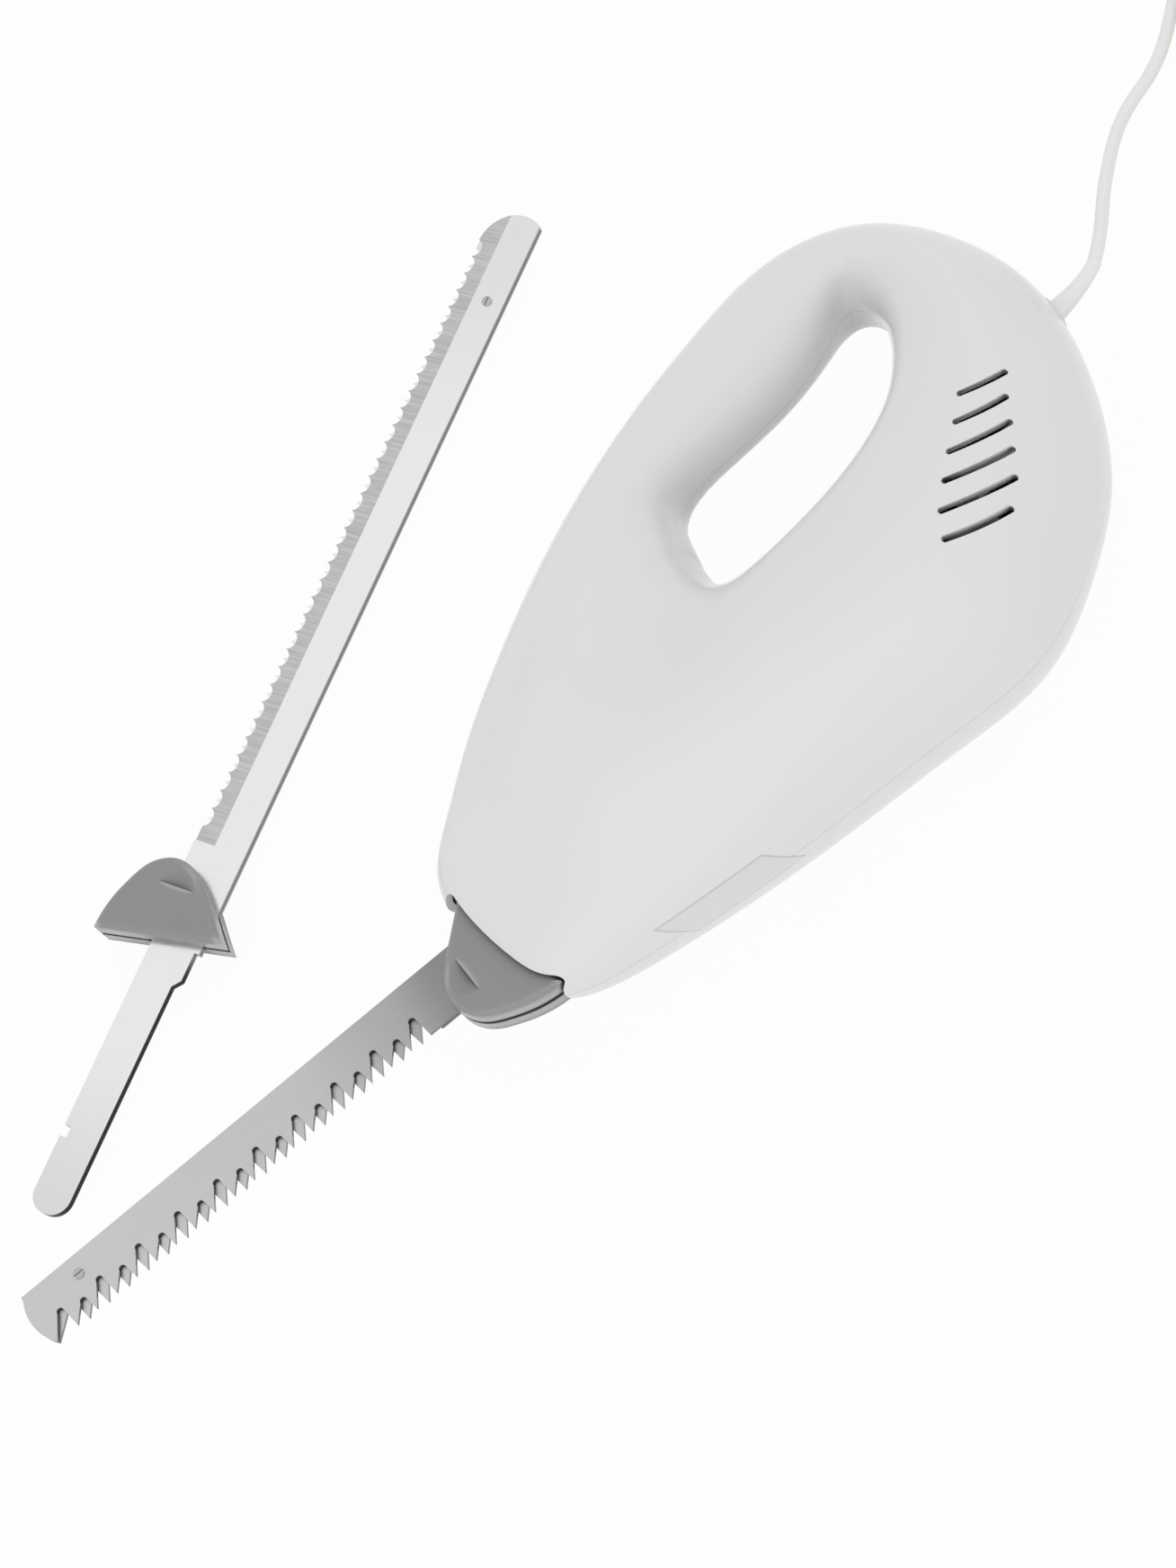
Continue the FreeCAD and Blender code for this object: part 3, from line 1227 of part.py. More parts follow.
def coil_gap():
    """Smallest distance between the coil's turns, over sampled points."""
    count = 24 * int(round(2 * COIL_TURNS))
    spots = [coil_spot(2 * k / count) for k in range(count + 1)]
    best = BODY_LENGTH
    for i in range(count + 1):
        for j in range(i + 16, count + 1):
            best = min(best, (spots[i] - spots[j]).Length)
    return best - 2 * CORD_R


def cord():
    """Free cord, coil, tie, plug, gland and clamp, with heights brought to the parting plane."""
    free = tube(corner_path(cord_points()))
    edges, end, leave = coil_path()
    coil = tube(edges)
    print("coil gap to itself", round(coil_gap(), 2))
    centre, angle, outer, _ = coil_frame()
    inner = outer - COIL_PITCH * COIL_TURNS
    r0 = inner - CORD_R - TIE_ROOM
    r1 = outer + CORD_R + TIE_ROOM + COIL_PITCH / 4
    top = COIL_LIFT + 2 * CORD_R + COIL_LAYER + TIE_ROOM
    low = COIL_LIFT - TIE_ROOM
    band = box(r0 - TIE_T, r1 + TIE_T, -TIE_WIDTH / 2, TIE_WIDTH / 2, low - TIE_T / 2, top + TIE_T)
    band = band.cut(box(r0, r1, -TIE_WIDTH, TIE_WIDTH, low, top))
    band.rotate(V(0, 0, 0), V(0, 0, 1), math.degrees(angle) - 120)
    band.translate(V(centre.x, centre.y, 0))
    plug, pins = plug_shapes()
    turn = math.degrees(math.atan2(leave.y, leave.x))
    for shape in (plug, pins):
        shape.rotate(V(0, 0, 0), V(0, 0, 1), turn)
        shape.translate(end)
    pieces = {"power_cord": free, "cord_coil": coil, "cord_tie": band, "plug_body": plug, "plug_pins": pins}
    for name, shape in pieces.items():
        shape.translate(V(0, 0, -MID_Z))
        NODES[name] = shape


def plug_shapes():
    """Flat two-pin plug: body with a narrow neck, and round pins."""
    wide = PLUG_HALF_WIDTH
    neck = PLUG_NECK_HALF_WIDTH
    outline = [(0, -neck), (PLUG_LENGTH * 0.4, -neck), (PLUG_LENGTH * 0.62, -wide), (PLUG_LENGTH, -wide)]
    outline += [(x, -y) for x, y in reversed(outline)]
    body = prism(outline, -PLUG_HALF_T, PLUG_HALF_T)
    upright = [e for e in body.Edges if abs(e.BoundBox.ZLength - 2 * PLUG_HALF_T) < RUN_GAP]
    body = body.makeFillet(CORD_R, upright)
    pins = []
    for side in (-1, 1):
        y = side * PIN_SPACING / 2
        pin = rod_x(PIN_R, PLUG_LENGTH, PLUG_LENGTH + PIN_LENGTH, y)
        tip = [e for e in pin.Edges if e.BoundBox.XMin > PLUG_LENGTH + PIN_LENGTH - RUN_GAP]
        pins.append(pin.makeFillet(PIN_R / 2, tip))
    return body, Part.makeCompound(pins)


def cord_entry():
    """Rimmed sleeve at the rear hole and the clamp that grips the cord inside."""
    collar = rod_x(GLAND_COLLAR_R, EXIT_X - WALL - GLAND_COLLAR_T - RUN_GAP, EXIT_X - WALL - RUN_GAP, EXIT_Y)
    inside = rod_x(GLAND_R, EXIT_X - GLAND_IN, EXIT_X, EXIT_Y)
    horn = Part.makeCone(GLAND_R, GLAND_TIP_R, GLAND_OUT, V(EXIT_X, EXIT_Y, 0), V(1, 0, 0))
    bore = rod_x(CORD_R + AXLE_FIT, EXIT_X - 2 * GLAND_IN, EXIT_X + 2 * GLAND_OUT, EXIT_Y)
    NODES["cord_sleeve"] = union([collar, inside, horn]).cut(bore)
    clamp = block(CLAMP_X + CLAMP_LENGTH / 2, EXIT_Y, CLAMP_LENGTH / 2, CLAMP_HALF, -CLAMP_HALF, CLAMP_HALF)
    NODES["cord_clamp"] = clamp.cut(rod_x(CORD_R, CLAMP_X, CLAMP_X + CLAMP_LENGTH, EXIT_Y))


def main():
    """Make every piece, lift it onto the table and write it."""
    housing()
    housing_screws()
    mounted_blades()
    spare_blades()
    drive_bars()
    worm_wheel()
    worm()
    armature()
    stator()
    motor_frame()
    brush_gear()
    power_switch()
    release_button()
    cord()
    cord_entry()
    os.makedirs("parts", exist_ok=True)
    for name, shape in NODES.items():
        shape.translate(V(-REST_X, -REST_Y, MID_Z))
        solids = shape.Solids
        whole = solids[0] if len(solids) == 1 else Part.makeCompound(solids)
        print(name, "solids", len(solids), "valid", whole.isValid(), "volume", round(whole.Volume, 1))
        whole.exportStep("parts/" + name + ".step")


main()
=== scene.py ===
"""Looks of an electric carving knife with a spare blade pair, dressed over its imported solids."""

import logging
import math
from dataclasses import dataclass, field, replace
from enum import Enum

import bmesh
import bpy
from mathutils import Matrix, Vector
from mathutils.bvhtree import BVHTree


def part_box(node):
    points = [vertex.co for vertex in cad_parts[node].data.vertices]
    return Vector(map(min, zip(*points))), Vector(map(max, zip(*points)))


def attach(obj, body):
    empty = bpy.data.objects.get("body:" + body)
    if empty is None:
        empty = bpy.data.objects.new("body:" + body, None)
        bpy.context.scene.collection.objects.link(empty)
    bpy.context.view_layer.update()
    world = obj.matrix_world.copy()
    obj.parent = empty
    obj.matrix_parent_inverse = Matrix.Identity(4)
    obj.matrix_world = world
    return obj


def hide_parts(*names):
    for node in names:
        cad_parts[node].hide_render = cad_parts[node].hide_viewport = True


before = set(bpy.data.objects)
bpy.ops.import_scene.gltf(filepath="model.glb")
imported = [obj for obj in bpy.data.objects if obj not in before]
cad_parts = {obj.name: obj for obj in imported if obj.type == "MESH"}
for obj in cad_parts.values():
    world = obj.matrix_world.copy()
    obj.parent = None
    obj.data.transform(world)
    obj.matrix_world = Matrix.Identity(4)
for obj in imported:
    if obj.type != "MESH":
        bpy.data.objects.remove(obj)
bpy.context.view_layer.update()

LOG = logging.getLogger("carving_knife")
JOIN_DISTANCE = 1e-6
OPENNESS_SAMPLES = 12
MIX_COLOUR_INPUTS = (6, 7)
MIX_COLOUR_OUTPUT = 2

Colour = tuple[float, float, float]
Point = tuple[float, float, float]
Span = tuple[float, float]

BLACK: Colour = (0.0, 0.0, 0.0)
FALL: Span = (1.0, 0.0)
RISE: Span = (0.0, 1.0)


class Body(Enum):
    """Moving bodies that new pieces ride on."""

    HOUSING = "housing"


class Lay(Enum):
    """Directions in which a pattern of fine lines is drawn."""

    ALONG = "along"
    ACROSS = "across"


class Graph:
    """Shader nodes of one material, with its main surface shader."""

    def __init__(self, name: str) -> None:
        """Start an empty surface.

        Args:
            name: Material name.
        """
        self.material = bpy.data.materials.new(name)
        self.material.use_nodes = True
        self.tree = self.material.node_tree
        self.shader = self.tree.nodes["Principled BSDF"]

    def add(self, kind: str, **settings: object) -> bpy.types.Node:
        """Add a node.

        Args:
            kind: Node type.
            settings: Node properties to set.

        Returns:
            The node.
        """
        node = self.tree.nodes.new(kind)
        for key, value in settings.items():
            setattr(node, key, value)
        return node

    def feed(self, socket: bpy.types.NodeSocket, value: object) -> None:
        """Link another socket into a socket, or set its number.

        Args:
            socket: Input socket.
            value: Output socket, number or tuple.
        """
        if isinstance(value, bpy.types.NodeSocket):
            self.tree.links.new(value, socket)
        else:
            socket.default_value = value

    def place(self, scale: Point = (1.0, 1.0, 1.0), turn: float = 0.0) -> bpy.types.NodeSocket:
        """Object coordinates, turned about Z and scaled.

        Args:
            scale: Scale along each turned axis.
            turn: Turn about Z in radians.

        Returns:
            Vector socket.
        """
        coordinates = self.add("ShaderNodeTexCoord")
        turned = self.add("ShaderNodeMapping")
        self.feed(turned.inputs["Vector"], coordinates.outputs["Object"])
        turned.inputs["Rotation"].default_value = (0.0, 0.0, turn)
        scaled = self.add("ShaderNodeMapping")
        self.feed(scaled.inputs["Vector"], turned.outputs["Vector"])
        scaled.inputs["Scale"].default_value = scale
        return scaled.outputs["Vector"]

    def noise(self, vector: bpy.types.NodeSocket, scale: float, detail: float = 2.0) -> bpy.types.NodeSocket:
        """Soft noise from 0 to 1.

        Args:
            vector: Coordinates.
            scale: Spots per metre.
            detail: Finer layers.

        Returns:
            Value socket.
        """
        node = self.add("ShaderNodeTexNoise")
        self.feed(node.inputs["Vector"], vector)
        node.inputs["Scale"].default_value = scale
        node.inputs["Detail"].default_value = detail
        return node.outputs["Fac"]

    def part(self, vector: bpy.types.NodeSocket, axis: str) -> bpy.types.NodeSocket:
        """One coordinate of a vector.

        Args:
            vector: Vector socket.
            axis: X, Y or Z.

        Returns:
            Value socket.
        """
        node = self.add("ShaderNodeSeparateXYZ")
        self.feed(node.inputs["Vector"], vector)
        return node.outputs[axis]

    def math(self, operation: str, first: object, second: object = 0.0) -> bpy.types.NodeSocket:
        """Arithmetic on two values.

        Args:
            operation: Math node operation.
            first: Socket or number.
            second: Socket or number.

        Returns:
            Value socket.
        """
        node = self.add("ShaderNodeMath", operation=operation)
        self.feed(node.inputs[0], first)
        self.feed(node.inputs[1], second)
        return node.outputs["Value"]

    def span(self, value: bpy.types.NodeSocket, source: Span, target: Span) -> bpy.types.NodeSocket:
        """A value mapped smoothly from one range to another, held at the ends.

        Args:
            value: Value socket.
            source: Range of the value.
            target: Range of the result.

        Returns:
            Value socket.
        """
        node = self.add("ShaderNodeMapRange", interpolation_type="SMOOTHSTEP")
        self.feed(node.inputs["Value"], value)
        node.inputs["From Min"].default_value, node.inputs["From Max"].default_value = source
        node.inputs["To Min"].default_value, node.inputs["To Max"].default_value = target
        return node.outputs["Result"]

    def blend(self, share: bpy.types.NodeSocket, first: object, second: object) -> bpy.types.NodeSocket:
        """Mix of two colours.

        Args:
            share: Share of the second colour.
            first: Colour or socket.
            second: Colour or socket.

        Returns:
            Colour socket.
        """
        node = self.add("ShaderNodeMix", data_type="RGBA")
        self.feed(node.inputs["Factor"], share)
        for index, colour in zip(MIX_COLOUR_INPUTS, (first, second)):
            self.feed(node.inputs[index], colour if isinstance(colour, bpy.types.NodeSocket) else (*colour, 1.0))
        return node.outputs[MIX_COLOUR_OUTPUT]

    def openness(self, reach: float, inside: bool = False, alone: bool = True) -> bpy.types.NodeSocket:
        """Share of free space near the surface, low in gaps, or low near rims when measured inside the solid.

        Args:
            reach: How far to look, in metres.
            inside: Look into the solid instead of out of it.
            alone: Heed the piece itself only, not its neighbours.

        Returns:
            Value socket.
        """
        node = self.add("ShaderNodeAmbientOcclusion", inside=inside, only_local=alone, samples=OPENNESS_SAMPLES)
        node.inputs["Distance"].default_value = reach
        return node.outputs["AO"]

    def level(self, height: float, half: float, core: float) -> bpy.types.NodeSocket:
        """Share that is 1 near one height, as on a parting line.

        Args:
            height: Z of the line.
            half: Half of the line's width.
            core: Share of that half over which the line is full.

        Returns:
            Value socket.
        """
        away = self.math("ABSOLUTE", self.math("SUBTRACT", self.part(self.place(), "Z"), height))
        return self.span(away, (core * half, half), FALL)

    def relief(self, height: bpy.types.NodeSocket, depth: float, strength: float = 1.0) -> None:
        """Fine relief on the surface.

        Args:
            height: Height socket, 0 to 1.
            depth: Full height in metres.
            strength: Share of the relief.
        """
        node = self.add("ShaderNodeBump")
        node.inputs["Distance"].default_value = depth
        node.inputs["Strength"].default_value = strength
        self.feed(node.inputs["Height"], height)
        self.feed(self.shader.inputs["Normal"], node.outputs["Normal"])


@dataclass(frozen=True)
class Finish:
    """Plain finish: colour with slight mottling, gloss that drifts a little, and optional painted shade in gaps."""

    name: str
    colour: Colour
    roughness: float
    metallic: float = 0.0
    coat: float = 0.0
    coat_roughness: float = 0.06
    shine: float = 0.5
    mottle: float = 0.04
    mottle_scale: float = 60.0
    mottle_detail: float = 3.0
    gloss_drift: float = 0.05
    gloss_times: float = 2.0
    gloss_detail: float = 4.0
    gloss_span: Span = (0.3, 0.7)
    grain_scale: float = 1800.0
    grain_depth: float = 0.00002
    grain_strength: float = 0.3
    # Painted shade in gaps and crevices: how far to look, the openness span, its colour, whether only the piece itself
    # counts, and the X stretch over which it starts.
    painted_shade_reach: float = 0.0
    painted_shade_span: Span = (0.2, 0.55)
    painted_shade_colour: Colour = (0.022, 0.016, 0.015)
    painted_shade_alone: bool = True
    painted_shade_from_x: Span = (-1.0, -0.9)

    def shade(self, times: float) -> Colour:
        """The colour, lighter or darker."""
        return tuple(min(1.0, part * times) for part in self.colour)

    def tint(self, graph: Graph) -> bpy.types.NodeSocket:
        """Base colour.

        Args:
            graph: Material being made.

        Returns:
            Colour socket.
        """
        spots = graph.noise(graph.place(), self.mottle_scale, self.mottle_detail)
        return graph.blend(spots, self.shade(1.0 - self.mottle), self.shade(1.0 + self.mottle))

    def dullness(self, graph: Graph) -> bpy.types.NodeSocket:
        """Roughness.

        Args:
            graph: Material being made.

        Returns:
            Value socket.
        """
        spots = graph.noise(graph.place(), self.gloss_times * self.mottle_scale, self.gloss_detail)
        low, high = self.roughness - self.gloss_drift, self.roughness + self.gloss_drift
        return graph.span(spots, self.gloss_span, (low, high))

    def texture(self, graph: Graph) -> None:
        """Fine relief of the surface.

        Args:
            graph: Material being made.
        """
        graph.relief(graph.noise(graph.place(), self.grain_scale), self.grain_depth, self.grain_strength)

    def material(self) -> bpy.types.Material:
        """The finish as a material, made once.

        Returns:
            Material.
        """
        known = bpy.data.materials.get(self.name)
        if known is not None:
            return known
        graph = Graph(self.name)
        shader = graph.shader
        shader.inputs["Metallic"].default_value = self.metallic
        shader.inputs["Specular IOR Level"].default_value = self.shine
        shader.inputs["Coat Weight"].default_value = self.coat
        shader.inputs["Coat Roughness"].default_value = self.coat_roughness
        colour = self.tint(graph)
        # Painted shade: the colour darkens where nearby surfaces hem this one in, from a set X onward.
        if self.painted_shade_reach > 0.0:
            gap = graph.span(graph.openness(self.painted_shade_reach, alone=self.painted_shade_alone), self.painted_shade_span, FALL)
            reached = graph.span(graph.part(graph.place(), "X"), self.painted_shade_from_x, RISE)
            colour = graph.blend(graph.math("MULTIPLY", gap, reached), colour, self.painted_shade_colour)
        graph.feed(shader.inputs["Base Color"], colour)
        graph.feed(shader.inputs["Roughness"], self.dullness(graph))
        self.texture(graph)
        return graph.material


@dataclass(frozen=True)
class SeamedPlastic(Finish):
    """Glossy moulded plastic with the thin parting line of two halves."""

    seam_z: float = 0.0395
    seam_half: float = 0.00022
    seam_core: float = 0.4
    seam_shade: float = 0.72

    def tint(self, graph: Graph) -> bpy.types.NodeSocket:
        """Base colour with the parting line.

        Args:
            graph: Material being made.

        Returns:
            Colour socket.
        """
        plain = Finish.tint(self, graph)
        line = graph.level(self.seam_z, self.seam_half, self.seam_core)
        return graph.blend(line, plain, self.shade(self.seam_shade))


@dataclass(frozen=True)
class RimmedPlastic(Finish):
    """Satin plastic with a painted highlight along its rounded rims and painted shade in the gap between two halves.
    """

    # Painted highlight along the rims, measured inside the solid; painted shade in a band along the parting gap.
    highlight_reach: float = 0.0022
    highlight_span: Span = (0.58, 0.92)
    outline_and_highlight_shade: float = 1.55
    parting_z: float = 0.0
    parting_half: float = 0.0013
    parting_core: float = 0.75

    def tint(self, graph: Graph) -> bpy.types.NodeSocket:
        """Base colour with a painted highlight along the rims and painted shade along the parting gap.

        Args:
            graph: Material being made.

        Returns:
            Colour socket.
        """
        plain = Finish.tint(self, graph)
        # Painted highlight: paler where the solid is thin near its rounded rims.
        rim = graph.span(graph.openness(self.highlight_reach, inside=True), self.highlight_span, FALL)
        pale = graph.blend(rim, plain, self.shade(self.outline_and_highlight_shade))
        # Painted shade: a dark band on both halves beside the parting gap.
        gap = graph.level(self.parting_z, self.parting_half, self.parting_core)
        return graph.blend(gap, pale, self.painted_shade_colour)


@dataclass(frozen=True)
class ShadeFade:
    """Painted shade: change of brightness along a stretch of a blade, held before and after it."""

    stretch: Span
    shares: Span


@dataclass(frozen=True)
class GroundSteel(Finish):
    """Ground blade steel: fine lines along the flats, a cross-ground bevel band, painted shade on the cut edges, and
    painted shade fading along the blade.
    """

    turn_deg: float = 0.0
    line_scale: float = 2600.0
    line_stretch: float = 0.02
    line_detail: float = 3.0
    line_contrast: float = 0.06
    # Painted shade on faces turned sideways, the cut edges, near black along the tang.
    edge_shade_colour: Colour = (0.12, 0.115, 0.11)
    edge_slope: Span = (0.55, 0.75)
    tang_shade_colour: Colour = (0.012, 0.011, 0.010)
    tang_span: Span = (-1.0, -0.9)
    band_colour: Colour | None = None
    band_contrast: float = 0.12
    band_lines: Span = (0.32, 0.68)
    band_slope: Span = (0.9945, 0.9975)
    # Painted shade along set stretches of the blade.
    shade_fades: tuple[ShadeFade, ...] = ()

    def lines(self, graph: Graph, lay: Lay) -> bpy.types.NodeSocket:
        """Grinding lines.

        Args:
            graph: Material being made.
            lay: Direction of the lines.

        Returns:
            Value socket from 0 to 1.
        """
        stretch = self.line_stretch
        scale = (stretch, 1.0, stretch) if lay is Lay.ALONG else (1.0, stretch, stretch)
        return graph.noise(graph.place(scale, -math.radians(self.turn_deg)), self.line_scale, self.line_detail)

    def slope(self, graph: Graph) -> bpy.types.NodeSocket:
        """How far the surface faces up or down, from 0 on cut edges to 1 on the flats."""
        return graph.math("ABSOLUTE", graph.part(graph.add("ShaderNodeTexCoord").outputs["Normal"], "Z"))

    def tint(self, graph: Graph) -> bpy.types.NodeSocket:
        """Base colour of flats, band and cut edges, with painted shade along the blade and on the cut edges.

        Args:
            graph: Material being made.

        Returns:
            Colour socket.
        """
        low, high = 1.0 - self.line_contrast, 1.0 + self.line_contrast
        flat = graph.blend(self.lines(graph, Lay.ALONG), self.shade(low), self.shade(high))
        slope = self.slope(graph)
        along = graph.part(graph.place(turn=-math.radians(self.turn_deg)), "X")
        # Painted shade: the flats darken over set stretches along the blade.
        for shade_fade in self.shade_fades:
            flat = graph.blend(graph.span(along, shade_fade.stretch, shade_fade.shares), BLACK, flat)
        if self.band_colour is not None:
            cross = graph.span(self.lines(graph, Lay.ACROSS), self.band_lines, RISE)
            dark = tuple(part * (1.0 - self.band_contrast) for part in self.band_colour)
            light = tuple(part * (1.0 + self.band_contrast) for part in self.band_colour)
            band = graph.blend(cross, dark, light)
            flat = graph.blend(graph.span(slope, self.band_slope, FALL), flat, band)
        # Painted shade: sideways faces drawn dark, near black along the tang.
        edge = graph.blend(graph.span(along, self.tang_span, FALL), self.edge_shade_colour, self.tang_shade_colour)
        return graph.blend(graph.span(slope, self.edge_slope, FALL), flat, edge)

    def texture(self, graph: Graph) -> None:
        """Relief of the grinding lines.

        Args:
            graph: Material being made.
        """
        graph.relief(self.lines(graph, Lay.ALONG), self.grain_depth, self.grain_strength)


@dataclass(frozen=True)
class FilmPlastic(Finish):
    """Blank film with a thin outline just inside its rim."""

    rim_inset: Span = (0.012, 0.030)
    outline_and_highlight_shade: float = 0.80
    fold: float = 0.5
    height_share: float = 0.5

    def tint(self, graph: Graph) -> bpy.types.NodeSocket:
        """Base colour with the outline.

        Args:
            graph: Material being made.

        Returns:
            Colour socket.
        """
        plain = Finish.tint(self, graph)
        spot = graph.add("ShaderNodeTexCoord").outputs["UV"]
        sides = [graph.math("PINGPONG", graph.part(spot, axis), self.fold) for axis in ("X", "Y")]
        inset = graph.math("MINIMUM", sides[0], graph.math("MULTIPLY", sides[1], self.height_share))
        line = graph.span(inset, self.rim_inset, FALL)
        return graph.blend(line, plain, self.shade(self.outline_and_highlight_shade))


@dataclass(frozen=True)
class StackedSheets(Finish):
    """Stack of thin sheets along the knife, seen as fine lines across it."""

    sheet: float = 0.0005
    line_from: float = 0.06
    line_to: float = 0.16
    line_shade: float = 0.55

    def tint(self, graph: Graph) -> bpy.types.NodeSocket:
        """Base colour with a line between sheets.

        Args:
            graph: Material being made.

        Returns:
            Colour socket.
        """
        plain = Finish.tint(self, graph)
        beat = graph.math("PINGPONG", graph.part(graph.place(), "X"), self.sheet / 2)
        line = graph.span(beat, (self.line_from * self.sheet, self.line_to * self.sheet), FALL)
        return graph.blend(line, plain, self.shade(self.line_shade))


# Painted shade: dark brown in the vent slots and other crevices, kept off the nose.
WHITE_PLASTIC = SeamedPlastic("white_gloss_plastic", (0.78, 0.78, 0.785), 0.20, coat=0.08, shine=0.32, mottle=0.008,
                              mottle_scale=25.0, gloss_drift=0.02, grain_scale=420.0, grain_strength=0.05,
                              painted_shade_reach=0.005, painted_shade_span=(0.32, 0.62), painted_shade_colour=(0.100, 0.052, 0.048),
                              painted_shade_from_x=(-0.10, -0.06))
BUTTON_PLASTIC = Finish("button_plastic", (0.76, 0.76, 0.765), 0.24, coat=0.15, mottle=0.01, grain_strength=0.08)
# Painted shade under the housing lip and beside the parting gap; painted highlight on the rims.
GUARD_PLASTIC = RimmedPlastic("grey_guard_plastic", (0.268, 0.268, 0.271), 0.32, mottle=0.03, mottle_scale=90.0,
                              grain_scale=3200.0, grain_strength=0.12, painted_shade_reach=0.009, painted_shade_span=(0.30, 0.92),
                              painted_shade_colour=(0.045, 0.040, 0.039), painted_shade_alone=False, parting_z=0.0395)
SPARE_GUARD_PLASTIC = replace(GUARD_PLASTIC, name="grey_spare_guard_plastic", parting_z=0.00708)
# Painted shade near the guard, rivet and other blade, on the cut edges, and fading toward the guard.
BLADE_STEEL = GroundSteel("ground_blade_steel", (0.56, 0.56, 0.56), 0.34, metallic=1.0, gloss_drift=0.04,
                          edge_shade_colour=(0.24, 0.225, 0.22), line_contrast=0.07, painted_shade_reach=0.003,
                          painted_shade_span=(0.15, 0.60), painted_shade_colour=(0.05, 0.038, 0.034), painted_shade_alone=False,
                          shade_fades=(ShadeFade((-0.275, -0.215), (1.0, 0.95)), ShadeFade((-0.215, -0.158), (1.0, 0.71)),
                                 ShadeFade((-0.173, -0.152), (1.0, 0.68))))
# Painted shade on the cut edges, near black along the tang, and fading toward both ends.
SPARE_STEEL = GroundSteel("bright_blade_steel", (0.80, 0.80, 0.805), 0.22, metallic=1.0, gloss_drift=0.04,
                          turn_deg=29.2, edge_shade_colour=(0.30, 0.285, 0.28), tang_span=(-0.150, -0.142),
                          line_contrast=0.025, band_colour=(0.50, 0.50, 0.50),
                          shade_fades=(ShadeFade((-0.232, -0.170), (0.85, 1.0)), ShadeFade((0.020, 0.1015), (1.0, 0.90))))
# Painted shade in the rivet's slot and round its head.
RIVET_STEEL = Finish("rivet_steel", (0.46, 0.46, 0.46), 0.28, metallic=1.0, painted_shade_reach=0.0012,
                     painted_shade_span=(0.35, 0.85))
SPRING_STEEL = Finish("spring_steel", (0.46, 0.46, 0.48), 0.26, metallic=1.0)
MACHINE_STEEL = Finish("machine_steel", (0.52, 0.52, 0.53), 0.30, metallic=1.0, mottle=0.06)
LAMINATION = StackedSheets("lamination_stack", (0.30, 0.30, 0.32), 0.42, metallic=0.9)
COPPER = StackedSheets("enamelled_copper_wire", (0.62, 0.25, 0.10), 0.28, metallic=0.85, sheet=0.0007, line_shade=0.45)
CARBON = Finish("carbon", (0.035, 0.035, 0.037), 0.62, mottle=0.2, grain_strength=0.5)
BRASS = Finish("brass", (0.66, 0.49, 0.22), 0.30, metallic=1.0, mottle=0.06)
ALUMINIUM = Finish("pressed_aluminium", (0.62, 0.62, 0.63), 0.38, metallic=1.0, grain_strength=0.5)
NYLON = Finish("gear_nylon", (0.66, 0.63, 0.55), 0.42, mottle=0.03)
DARK_PLASTIC = Finish("dark_plastic", (0.045, 0.045, 0.048), 0.44, mottle=0.1)
CORD_PLASTIC = Finish("cord_white", (0.78, 0.78, 0.785), 0.36, mottle=0.015, grain_scale=2600.0, grain_strength=0.15)
TIE_PLASTIC = Finish("tie_black", (0.03, 0.03, 0.032), 0.46, mottle=0.1)
PIN_NICKEL = Finish("pin_nickel", (0.70, 0.68, 0.64), 0.20, metallic=1.0)
LABEL_FILM = FilmPlastic("blank_label_film", (0.72, 0.72, 0.725), 0.14, coat=0.3, mottle=0.006, grain_strength=0.03)


class Smoothing:
    """Geometry nodes that join a solid's loose triangles and keep only its creases sharp."""

    @classmethod
    def group(cls, crease_deg: float) -> bpy.types.NodeTree:
        """Node group for one crease angle, made once.

        Args:
            crease_deg: Edges that turn more than this stay sharp.

        Returns:
            Node group.
        """
        name = f"crease_{crease_deg:g}"
        known = bpy.data.node_groups.get(name)
        if known is not None:
            return known
        tree = bpy.data.node_groups.new(name, "GeometryNodeTree")
        tree.interface.new_socket("Geometry", in_out="INPUT", socket_type="NodeSocketGeometry")
        tree.interface.new_socket("Geometry", in_out="OUTPUT", socket_type="NodeSocketGeometry")
        start, end = tree.nodes.new("NodeGroupInput"), tree.nodes.new("NodeGroupOutput")
        join = tree.nodes.new("GeometryNodeMergeByDistance")
        join.inputs["Distance"].default_value = JOIN_DISTANCE
        smooth = tree.nodes.new("GeometryNodeSetShadeSmooth")
        smooth.domain = "FACE"
        sharp = tree.nodes.new("GeometryNodeSetShadeSmooth")
        sharp.domain = "EDGE"
        sharp.inputs["Shade Smooth"].default_value = False
        angle = tree.nodes.new("GeometryNodeInputMeshEdgeAngle")
        over = tree.nodes.new("FunctionNodeCompare")
        over.operation = "GREATER_THAN"
        over.inputs["B"].default_value = math.radians(crease_deg)
        link = tree.links.new
        link(start.outputs[0], join.inputs["Geometry"])
        link(join.outputs["Geometry"], smooth.inputs["Geometry"])
        link(smooth.outputs["Geometry"], sharp.inputs["Geometry"])
        link(angle.outputs["Unsigned Angle"], over.inputs["A"])
        link(over.outputs["Result"], sharp.inputs["Selection"])
        link(sharp.outputs["Geometry"], end.inputs[0])
        return tree

    @classmethod
    def apply(cls, piece: bpy.types.Object, crease_deg: float) -> None:
        """Put the smoothing on a piece.

        Args:
            piece: Object to smooth.
            crease_deg: Edges that turn more than this stay sharp.
        """
        modifier = piece.modifiers.new("smoothing", "NODES")
        modifier.node_group = cls.group(crease_deg)


@dataclass
class SubAssembly:
    """Solids that belong together, each with its finish."""

    finishes: dict[str, Finish]
    crease_deg: float = 32.0

    def dress(self) -> None:
        """Smooth each solid and give it its finish."""
        for name, finish in self.finishes.items():
            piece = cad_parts[name]
            piece.data.materials.clear()
            piece.data.materials.append(finish.material())
            Smoothing.apply(piece, self.crease_deg)
            LOG.info("%s: %s", name, finish.name)


